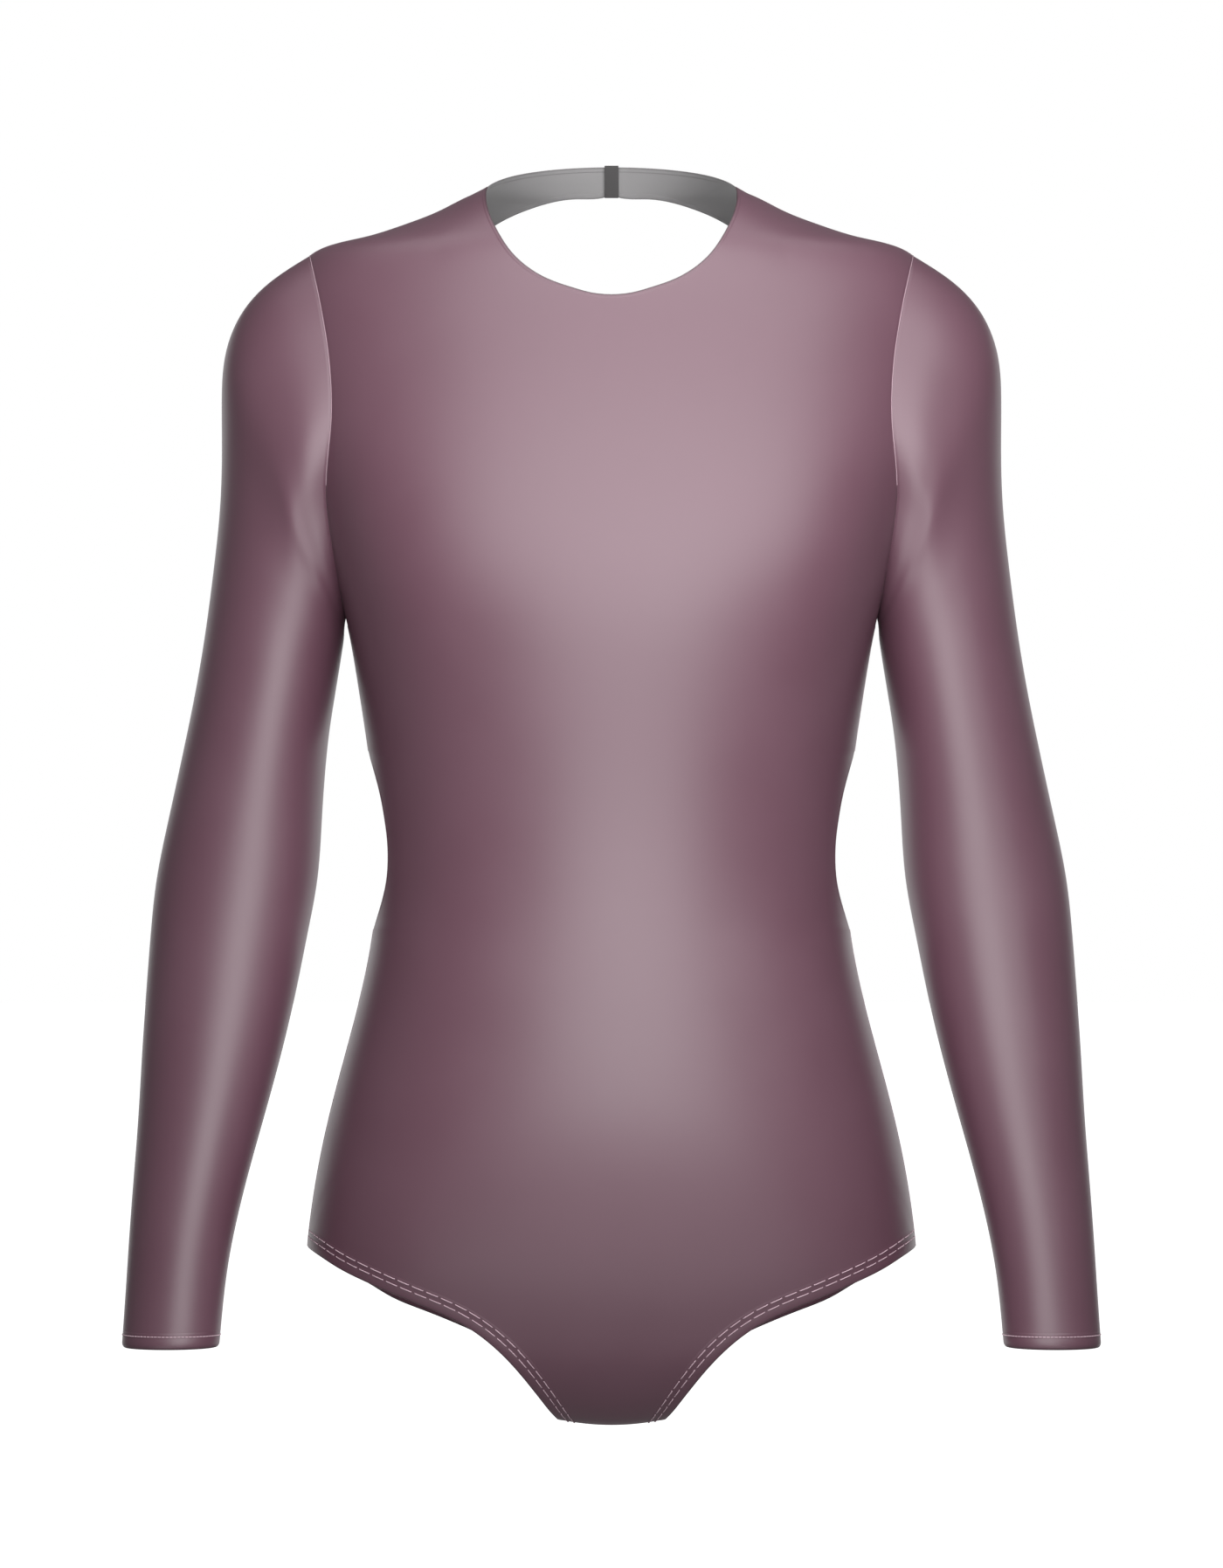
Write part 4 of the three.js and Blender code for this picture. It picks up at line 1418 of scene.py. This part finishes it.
    def low_back(self) -> Array:
        """Rows of the left half of the lower back."""
        return self.hip_rows(BACK_LEG, Face.BACK, self.lower_back_steps, WAIST_CUT_END_Z - OPEN_BACK_DROP)

    def strap_edges(self) -> tuple[Array, Array]:
        """The edges of the left upper back.

        Returns:
            Places along its outer and its inner edge, from the nape down.
        """
        start = -BODY_FORM.angle_at(np.array(OPEN_BACK[0].x), BODY_FORM.level_of(NAPE_RISE), Face.FRONT)
        crowded = np.linspace(0, 1, self.back_neck_steps + 1) ** self.nape_crowding
        angle = start * (1 - crowded)
        z = NAPE_RISE * np.abs(np.sin(angle)) ** NAPE_POWER
        neck = np.stack([angle, BODY_FORM.level_of(z)], axis=-1)
        outer = [neck, self.shoulder()[1:], self.armhole(Face.BACK)[1:], self.strap_tail()]

        curve, end = edge_curve(OPEN_BACK)
        fine = np.linspace(0, end, OPEN_BACK_SAMPLES)
        heights = curve.at(fine)[:, 1]
        across = (ACROSS_FROM_NECK, ACROSS_FROM_SHOULDER, ACROSS_FROM_UNDERARM)
        marks = [float(fine[np.argmax(heights < height)]) for height in across] + [end]
        counts = (self.shoulder_steps, self.armhole_steps, self.strap_tail_steps)
        along = [crowded * marks[0]]
        for count, low, high in zip(counts, marks, marks[1:]):
            along.append(np.linspace(low, high, count + 1)[1:])
        x, z = np.moveaxis(curve.at(np.concatenate(along)), -1, 0)
        return np.concatenate(outer), BODY_FORM.place_on(x, z, Face.BACK)

    def free_edges(self) -> dict[str, Array]:
        """The garment's free edges.

        Returns:
            Lines of points, by name.
        """
        outer, open_back = self.strap_edges()
        return both_sides(
            {
                "front_neck": self.neckline(),
                "back_neck": outer[: self.back_neck_steps + 1],
                "open_back": open_back,
                "low_back": self.low_back()[0],
                "waist_cut": self.waist_cut(),
                "front_leg": self.leg(FRONT_LEG, Face.FRONT, self.leg_line_steps),
                "back_leg": self.leg(BACK_LEG, Face.BACK, self.leg_line_steps),
            }
        )

    def seams(self) -> dict[str, Array]:
        """The seams of the body.

        Returns:
            Lines of points, by name.
        """
        corner = math.acos(STRIP_REACH / TORSO[-1].half_width)
        across = np.linspace(corner, math.pi / 2, self.crotch_steps + 1)
        return both_sides(
            {
                "shoulder": self.shoulder(),
                "armhole_front": self.armhole(Face.FRONT),
                "armhole_back": self.armhole(Face.BACK),
                "underarm": side_line(UNDERARM_Z, STRAP_TIP_Z, self.strap_tail_steps),
                "side": side_line(WAIST_CUT_END_Z, LEG_CORNER_Z, self.side_steps),
                "crotch": np.stack([across, np.full_like(across, BODY_FORM.end)], axis=-1),
            }
        )


def whole_width(half: Array, middle: float) -> Array:
    """Completes a grid with its mirror image.

    Args:
        half: Places from the side to the middle.
        middle: The angle of the middle.

    Returns:
        Places from side to side.
    """
    other = half[:, -2::-1].copy()
    other[..., 0] = 2 * middle - other[..., 0]
    return np.concatenate([half, other], axis=1)


@dataclass
class BodyPanels:
    """The front, the two upper backs and the lower back."""

    panels: Panels
    closet: Closet
    leg_hem_mm: float = 10.0
    front_cut: SheetFacts = SheetFacts(0.42, 0.74, 0.2)
    upper_back_cut: SheetFacts = SheetFacts(0.12, 0.36, 0.02)
    lower_back_cut: SheetFacts = SheetFacts(0.42, 0.3, 0.07)

    def build(self) -> list[bpy.types.Object]:
        """Builds and dresses the body's panels."""
        return [self.front(), self.upper_back(Side.LEFT), self.upper_back(Side.RIGHT), self.lower_back()]

    def front(self) -> bpy.types.Object:
        """The front panel.

        Returns:
            The new object.
        """
        half, armhole_rows = self.panels.front_grid()
        places = whole_width(half, math.pi / 2)
        points, normals = BODY_FORM.point(places), BODY_FORM.normal(places)
        cut = armhole_normals(np.linspace(0, math.pi, armhole_rows))[0]
        normals[:armhole_rows, 0], normals[:armhole_rows, -1] = cut, mirrored(cut)
        free = np.zeros((2, len(points)), bool)
        waist = armhole_rows + self.panels.strap_tail_steps
        hips = waist + self.panels.waist_cut_steps
        free[:, waist:hips] = True
        free[:, hips + self.panels.side_steps :] = True
        wall = ClothWall("front_cloth", points, normals, free_top=True, free_sides=free)
        edges = chosen(self.panels.free_edges(), ("front_", "waist"))
        seams = chosen(self.panels.seams(), ("shoulder", "armhole_front", "underarm", "side", "crotch"))
        return self._finish(wall, edges, seams, "front_leg", "front_panel")

    def upper_back(self, side: Side) -> bpy.types.Object:
        """One strap-like upper back.

        Args:
            side: Left or right.

        Returns:
            The new object.
        """
        outer, inner = self.panels.strap_edges()
        share = np.linspace(0, 1, self.panels.strap_width_steps + 1)[None, :, None]
        places = inner[:, None] + (outer - inner)[:, None] * share
        points, normals = BODY_FORM.point(places), BODY_FORM.normal(places)
        start = self.panels.back_neck_steps + self.panels.shoulder_steps
        turn = 2 * math.pi - np.linspace(0, math.pi, self.panels.armhole_steps + 1)
        normals[start : start + len(turn), -1] = armhole_normals(turn)[0]
        free = np.zeros((2, len(points)), bool)
        free[0] = True
        free[1, : self.panels.back_neck_steps] = True
        if side is Side.RIGHT:
            points, normals, free = mirrored(points)[:, ::-1], mirrored(normals)[:, ::-1], free[::-1]
        name = f"upper_back_{side.word}"
        wall = ClothWall(f"{name}_cloth", points, normals, free_top=True, free_foot=True, free_sides=free)
        edges = chosen(self.panels.free_edges(), ("back_neck", "open_back"), side.word)
        seams = chosen(self.panels.seams(), ("shoulder", "armhole_back", "underarm"), side.word)
        return self._finish(wall, edges, seams, None, name, SATIN_INSIDE)

    def lower_back(self) -> bpy.types.Object:
        """The seat panel.

        Returns:
            The new object.
        """
        places = whole_width(self.panels.low_back(), -math.pi / 2)[:, ::-1]
        points, normals = BODY_FORM.point(places), BODY_FORM.normal(places)
        free = np.zeros((2, len(points)), bool)
        free[:, self.panels.side_steps :] = True
        wall = ClothWall("lower_back_cloth", points, normals, free_top=True, free_sides=free)
        edges = chosen(self.panels.free_edges(), ("low_back", "back_leg"))
        seams = chosen(self.panels.seams(), ("side", "crotch"))
        return self._finish(wall, edges, seams, "back_leg", "lower_back")

    def _finish(
        self,
        wall: ClothWall,
        edges: list[Array],
        seams: list[Array],
        hemmed: str | None,
        node: str,
        edge_finish: ClothFinish = SATIN_OUTSIDE,
    ) -> bpy.types.Object:
        """Builds a wall, dresses it and ties it to the frame.

        Args:
            wall: The wall.
            edges: Its free edges.
            seams: Its seams.
            hemmed: The free edge that has a hem, if any.
            node: The node that it stands for.
            edge_finish: The finish of its rims.

        Returns:
            The new object.
        """
        hems = chosen(self.panels.free_edges(), (hemmed,)) if hemmed else []
        distances = {
            "edge_mm": nearest(wall.points, edges),
            "seam_mm": nearest(wall.points, seams),
            "hem_share": nearest(wall.points, hems) / self.leg_hem_mm,
        }
        piece = wall.build(distances)
        self.closet.dress_cloth(piece, edge_finish)
        declare_cloth(piece, node)
        return piece


def declare_cloth(piece: bpy.types.Object, node: str) -> None:
    """Ties a piece of cloth to the frame and hides the CAD node that it stands for.

    Args:
        piece: The cloth.
        node: The node.
    """
    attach(piece, BODY)
    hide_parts(node)


@dataclass
class Sleeves:
    """The two sleeves."""

    panels: Panels
    closet: Closet
    rows_per_ring: int = 6
    cuff_hem_mm: float = 8.0
    cuff_rows: tuple[float, ...] = (0.08, 0.05, 0.025, 0.0)
    tuck_mm: float = 0.9
    tuck_reach_mm: float = 2.2
    cut: SheetFacts = SheetFacts(0.34, 0.6, 0.115)

    def build(self) -> list[bpy.types.Object]:
        """Builds and dresses both sleeves."""
        return [self.sleeve(side) for side in Side]

    def sleeve(self, side: Side) -> bpy.types.Object:
        """One sleeve.

        Args:
            side: Left or right.

        Returns:
            The new object.
        """
        turns = np.linspace(0, 2 * math.pi, 2 * self.panels.armhole_steps + 1)[:-1]
        rows = np.linspace(0, SLEEVE_FORM.end, int(SLEEVE_FORM.end) * self.rows_per_ring + 1)
        rows = np.append(rows[:-1], SLEEVE_FORM.end - np.array(self.cuff_rows))
        turn, row = np.meshgrid(turns, rows)
        points, normals = SLEEVE_FORM.point(turn, row), SLEEVE_FORM.normal(turn, row)
        normals[0] = armhole_normals(turns)[1]
        seam, cuff = points[0], points[-1]
        if side is Side.RIGHT:
            points, normals = mirrored(points)[:, ::-1], mirrored(normals)[:, ::-1]
            seam, cuff = mirrored(seam), mirrored(cuff)
        name = f"sleeve_{side.word}"
        from_cuff = distance_to(points, np.vstack([cuff, cuff[:1]]))
        tuck = self.tuck_mm * np.clip(1 - from_cuff / self.tuck_reach_mm, 0, 1) ** 2
        points = points - normals * tuck[..., None]
        wall = ClothWall(f"{name}_cloth", points, normals, closed_round=True, free_foot=True)
        underside = self.panels.armhole_steps if side is Side.LEFT else self.panels.armhole_steps - 1
        distances = {
            "edge_mm": from_cuff,
            "seam_mm": nearest(points, [np.vstack([seam, seam[:1]]), points[:, underside]]),
            "hem_share": from_cuff / self.cuff_hem_mm,
        }
        piece = wall.build(distances)
        self.closet.dress_cloth(piece)
        declare_cloth(piece, name)
        return piece


@dataclass(frozen=True)
class Thread:
    """A soft oval line of thread that lies on the cloth, as one tube."""

    half_width: float
    half_height: float
    sides: int = 6

    def tube(self, points: Array, normals: Array, lift: Array) -> tuple[Array, Array]:
        """One length of thread.

        Args:
            points: Its line on the cloth.
            normals: The cloth's outward directions there.
            lift: How high its middle stands above the cloth at each point.

        Returns:
            Its vertices and its faces.
        """
        count = len(points)
        along = unit(np.gradient(points, axis=0))
        side = unit(np.cross(normals, along))
        turn = np.linspace(0, 2 * math.pi, self.sides + 1)[:-1]
        middle = points + normals * lift[:, None]
        ring = (
            middle[:, None]
            + side[:, None] * (self.half_width * np.cos(turn))[None, :, None]
            + normals[:, None] * (self.half_height * np.sin(turn))[None, :, None]
        )
        grid = np.arange(count * self.sides).reshape(count, self.sides)
        ahead = np.roll(grid, -1, axis=1)
        faces = np.stack([grid[:-1], ahead[:-1], ahead[1:], grid[1:]], axis=-1).reshape(-1, 4)
        return ring.reshape(-1, 3), faces


SEAM_IN_SIGHT = 0.2
SEAM_START_DROP = 4.0


@dataclass
class Stitching:
    """The stitch rows of the hems and the fine lines of the seams."""

    panels: Panels
    closet: Closet
    leg_rows_mm: tuple[float, float] = (5.4, 8.7)
    leg_stitch_mm: float = 6.7
    leg_gap_mm: float = 1.5
    cuff_row_mm: float = 6.3
    cuff_stitch_mm: float = 1.7
    cuff_gap_mm: float = 0.35
    seam_lift_mm: float = 0.1
    stitch_shares: tuple[float, ...] = (0.0, 0.04, 0.15, 0.5, 0.85, 0.96, 1.0)
    stitch_lifts_mm: tuple[float, ...] = (-0.3, 0.12, 0.22, 0.24, 0.22, 0.12, -0.3)
    hem_thread: Thread = Thread(0.3, 0.2)
    cuff_thread: Thread = Thread(0.26, 0.18)
    seam_thread: Thread = Thread(0.24, 0.16)
    leg_samples: int = 240
    cuff_samples: int = 361
    armhole_samples: int = 241
    seam_samples: int = 90
    least_run: int = 4

    def build(self) -> list[bpy.types.Object]:
        """Builds and dresses all the stitching."""
        makers = (self.leg_hem, self.cuff_hem, self.seam_lines)
        return [make(side) for side in Side for make in makers]

    def leg_hem(self, side: Side) -> bpy.types.Object:
        """Two rows of long stitches round one leg opening.

        Args:
            side: Left or right.

        Returns:
            The new object.
        """
        parts = []
        for edge, face in ((FRONT_LEG, Face.FRONT), (BACK_LEG, Face.BACK)):
            places = self.panels.leg(edge, face, self.leg_samples)
            inside = np.array([face.value * math.pi / 2, BODY_FORM.level_of(ABOVE_LEGS_Z)])
            for distance in self.leg_rows_mm:
                row = BODY_FORM.inset(places, distance, inside)
                row = row[face.value * row[:, 0] > 0.0]
                points, normals = BODY_FORM.point(row), BODY_FORM.normal(row)
                parts += self._stitches(points, normals, self.leg_stitch_mm, self.leg_gap_mm, self.hem_thread)
        return self._piece(f"leg_hem_stitching_{side.word}", parts, side, HEM_THREAD)

    def cuff_hem(self, side: Side) -> bpy.types.Object:
        """One row of short stitches round a cuff.

        Args:
            side: Left or right.

        Returns:
            The new object.
        """
        turn = np.linspace(0, 2 * math.pi, self.cuff_samples)
        last = SLEEVE_FORM.point(turn, np.full_like(turn, SLEEVE_FORM.end))
        before = SLEEVE_FORM.point(turn, np.full_like(turn, SLEEVE_FORM.end - 1))
        row = SLEEVE_FORM.end - self.cuff_row_mm / np.linalg.norm(last - before, axis=1).mean()
        rows = np.full_like(turn, row)
        points, normals = SLEEVE_FORM.point(turn, rows), SLEEVE_FORM.normal(turn, rows)
        parts = self._stitches(points, normals, self.cuff_stitch_mm, self.cuff_gap_mm, self.cuff_thread)
        return self._piece(f"cuff_stitching_{side.word}", parts, side, HEM_THREAD)

    def seam_lines(self, side: Side) -> bpy.types.Object:
        """Fine lines in the armhole, shoulder and side seams.

        Where the sleeve folds against the body, under the arm, the armhole has no line.

        Args:
            side: Left or right.

        Returns:
            The new object.
        """
        turn = np.linspace(0, 2 * math.pi, self.armhole_samples)
        body, sleeve = armhole_normals(turn)
        normals = unit(body + sleeve + [0, 0, 1e-6])
        points = BODY_FORM.point(SLEEVE_FORM.armhole_places(turn))
        in_sight = np.sum(body * sleeve, axis=-1) > SEAM_IN_SIGHT
        parts = self._runs(points, normals, in_sight)
        below_arm = UNDERARM_Z - SEAM_START_DROP
        for z_range in ((0.0, SHOULDER_Z), (below_arm, STRAP_TIP_Z), (WAIST_CUT_END_Z, LEG_CORNER_Z)):
            places = side_line(*z_range, self.seam_samples - 1)
            whole = np.full(self.seam_samples, True)
            parts += self._runs(BODY_FORM.point(places), BODY_FORM.normal(places), whole)
        return self._piece(f"seam_lines_{side.word}", parts, side, SEAM_THREAD)

    def _runs(self, points: Array, normals: Array, keep: Array) -> list[tuple[Array, Array]]:
        """Unbroken seam lines over the stretches to keep.

        Args:
            points: The seam's line.
            normals: The cloth's outward directions there.
            keep: Which points to keep.

        Returns:
            Vertices and faces of each length of thread.
        """
        parts = []
        bounds = np.flatnonzero(np.diff(np.concatenate([[0], keep.astype(int), [0]])))
        for begin, end in zip(bounds[::2], bounds[1::2]):
            if end - begin >= self.least_run:
                lift = np.full(end - begin, self.seam_lift_mm)
                parts.append(self.seam_thread.tube(points[begin:end], normals[begin:end], lift))
        return parts

    def _stitches(
        self, points: Array, normals: Array, stitch: float, gap: float, thread: Thread
    ) -> list[tuple[Array, Array]]:
        """A row of stitches whose ends dive into the cloth.

        Args:
            points: The row's line.
            normals: The cloth's outward directions there.
            stitch: About how long a stitch is.
            gap: How far apart they are.
            thread: The thread.

        Returns:
            Vertices and faces of each stitch.
        """
        length = running_length(points)
        period = length[-1] / max(round(length[-1] / (stitch + gap)), 1)
        shares, lifts = np.array(self.stitch_shares), np.array(self.stitch_lifts_mm)
        parts = []
        for begin in np.arange(0, length[-1] - period / 2, period):
            where = begin + (gap / 2) + shares * (period - gap)
            place, facing = (
                np.stack([np.interp(where, length, rows[:, i]) for i in range(3)], axis=-1)
                for rows in (points, normals)
            )
            parts.append(thread.tube(place, unit(facing), lifts))
        return parts

    def _piece(
        self, name: str, parts: list[tuple[Array, Array]], side: Side, finish: FibreFinish
    ) -> bpy.types.Object:
        """Joins lengths of thread into one object on one side of the garment.

        Args:
            name: The object's name.
            parts: Vertices and faces of each length, on the left.
            side: Left or right.
            finish: The thread's finish.

        Returns:
            The new object.
        """
        vertices, faces, start = [], [], 0
        for points, quads in parts:
            vertices.append(points if side is Side.LEFT else mirrored(points))
            faces.append((quads if side is Side.LEFT else quads[:, ::-1]) + start)
            start += len(points)
        piece = smooth_object(name, np.concatenate(vertices), np.concatenate(faces).tolist())
        self.closet.dress(piece, finish)
        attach(piece, BODY)
        return piece


@dataclass
class NapeTab:
    """The folded tape that joins the ends of the nape band: two leaves on a web."""

    closet: Closet
    width: float = 7.4
    height: float = 17.0
    leaf: float = 0.9
    slot: float = 1.8
    web: float = 1.6
    over_top: float = 1.2
    levels: int = 12
    soften_mm: float = 0.22
    cloth_middle: float = 0.6

    def build(self) -> list[bpy.types.Object]:
        """Builds and dresses the tab.

        Returns:
            The new object.
        """
        foot, lean = self._stand()
        outline = self._outline()
        ring = np.array([(x, y, z) for z in np.linspace(0, self.height, self.levels) for x, y in outline])
        x, y, z = ring.T
        turned = np.stack(
            [
                x,
                y * math.cos(lean) - z * math.sin(lean) + foot[1] - self.cloth_middle / math.cos(lean),
                y * math.sin(lean) + z * math.cos(lean) + foot[2],
            ],
            axis=-1,
        )
        grid = np.arange(len(ring)).reshape(self.levels, len(outline))
        ahead = np.roll(grid, -1, axis=1)
        walls = np.stack([grid[:-1], ahead[:-1], ahead[1:], grid[1:]], axis=-1).reshape(-1, 4).tolist()
        ends = [grid[0][::-1].tolist(), grid[-1].tolist()]
        piece = smooth_object("nape_tab_tape", turned, walls + ends)
        soften = piece.modifiers.new("soften", "BEVEL")
        soften.width, soften.segments, soften.limit_method = self.soften_mm * MM, 3, "ANGLE"
        self.closet.dress(piece, TAB_TAPE)
        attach(piece, BODY)
        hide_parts("nape_tab")
        return [piece]

    def _outline(self) -> list[tuple[float, float]]:
        """The tab's level section.

        Returns:
            Its corners, anticlockwise from above.
        """
        side, web, slot = self.width / 2, self.web / 2, self.slot / 2
        face = slot + self.leaf
        half = [(-side, -face), (side, -face), (side, -slot), (web, -slot), (web, slot), (side, slot)]
        return half + [(-x, -y) for x, y in half]

    def _stand(self) -> tuple[Array, float]:
        """Where the tab stands on the nape band.

        Returns:
            Its foot on the band, and how far it leans.
        """
        where = np.array((self.web + self.width) / 4)
        top, foot = (
            BODY_FORM.point(BODY_FORM.place_on(where, np.array(z), Face.BACK))
            for z in (NAPE_RISE, NAPE_RISE + self.over_top - self.height)
        )
        return foot, math.atan2(foot[1] - top[1], top[2] - foot[2])


# The studio


@dataclass(frozen=True)
class Lamp:
    """One soft rectangular light that points at a spot."""

    name: str
    place: tuple[float, float, float]
    target: tuple[float, float, float]
    size: tuple[float, float]
    watts: float

    def build(self) -> None:
        """Hangs the light."""
        data = bpy.data.lights.new(self.name, "AREA")
        data.shape, data.size, data.size_y = "RECTANGLE", *self.size
        data.energy = self.watts
        lamp = link(bpy.data.objects.new(self.name, data))
        lamp.visible_camera = False
        aim(lamp, self.place, self.target)


def aim(thing: bpy.types.Object, place: Sequence[float], target: Sequence[float]) -> None:
    """Puts a camera or light somewhere and turns it to a target.

    Args:
        thing: The camera or light.
        place: Where it goes.
        target: What it points at.
    """
    thing.location = place
    way = Vector(target) - Vector(place)
    thing.rotation_euler = way.to_track_quat("-Z", "Y").to_euler()


FRAME_PIXELS = 1795
PIXEL_MM = 0.46


@dataclass
class Studio:
    """Camera, floor and lights."""

    distance: float = 4.2
    eye_height: float = -0.3144
    frame_height: float = FRAME_PIXELS * PIXEL_MM * MM
    floor_height: float = -0.76
    floor_reach: float = 12.0
    lamps: tuple[Lamp, ...] = (
        Lamp("chest", (0.17, -0.6, 0.24), (0.17, 0.0, 0.24), (1.05, 0.96), 10.6),
        Lamp("belly", (0.05, -0.6, -0.42), (0.04, 0.0, -0.4), (0.44, 0.36), 1.6),
        Lamp("far", (0.4, -2.6, -0.4), (0.0, 0.0, -0.4), (1.8, 1.6), 7.5),
        Lamp("top", (0.0, -0.2, 1.2), (0.0, 0.0, 0.0), (1.6, 0.9), 8),
        Lamp("low", (0.0, -0.9, -1.25), (0.0, 0.0, -0.62), (1.6, 0.6), 3),
        Lamp("behind", (0.0, 0.55, -0.36), (0.0, 0.0, -0.36), (1.4, 0.9), 4),
    )
    sky: float = 0.2

    def build(self) -> None:
        """Builds the studio."""
        self._camera()
        self._floor()
        self._world()
        for lamp in self.lamps:
            lamp.build()
        view = bpy.context.scene.view_settings
        view.view_transform, view.look = "Standard", "None"

    def _camera(self) -> None:
        """The camera, level and square to the front."""
        data = bpy.data.cameras.new("camera")
        data.lens = data.sensor_width * self.distance / self.frame_height
        camera = link(bpy.data.objects.new("camera", data))
        place = (0.0, -self.distance, self.eye_height)
        aim(camera, place, (0.0, 0.0, self.eye_height))
        bpy.context.scene.camera = camera

    def _floor(self) -> None:
        """A plain white floor, below the garment."""
        data = bpy.data.meshes.new("floor")
        reach, z = self.floor_reach, self.floor_height
        corners = [(-reach, -reach, z), (reach, -reach, z), (reach, reach, z), (-reach, reach, z)]
        data.from_pydata(corners, [], [(0, 1, 2, 3)])
        floor = link(bpy.data.objects.new("floor", data))
        material, made, shader = new_material("white floor")
        made.feed(shader.inputs["Base Color"], (0.8, 0.8, 0.8, 1))
        made.feed(shader.inputs["Emission Color"], (1, 1, 1, 1))
        made.feed(shader.inputs["Emission Strength"], 1.0)
        data.materials.append(material)
        floor.visible_diffuse = floor.visible_glossy = floor.visible_shadow = False

    def _world(self) -> None:
        """A white background that lights the garment only a little."""
        world = bpy.data.worlds.new("studio")
        bpy.context.scene.world = world
        world.use_nodes = True
        made = NodeTree(world.node_tree)
        background = world.node_tree.nodes["Background"]
        seen = made.node("ShaderNodeLightPath").outputs["Is Camera Ray"]
        made.feed(background.inputs["Color"], (1, 1, 1, 1))
        made.feed(background.inputs["Strength"], made.math("MULTIPLY_ADD", seen, 1.0 - self.sky, self.sky))


def triangles(piece: bpy.types.Object) -> int:
    """How many triangles a mesh object has."""
    return sum(len(face.vertices) - 2 for face in piece.data.polygons)


def main() -> None:
    """Builds the garment and the studio."""
    logging.basicConfig(level=logging.INFO, format="%(message)s", force=True)
    closet, panels = Closet(), Panels()
    makers = (BodyPanels(panels, closet), Sleeves(panels, closet), Stitching(panels, closet), NapeTab(closet))
    for maker in makers:
        for piece in maker.build():
            log.info("%s: %d triangles", piece.name, triangles(piece))
    Studio().build()


if __name__ == "__main__":
    main()
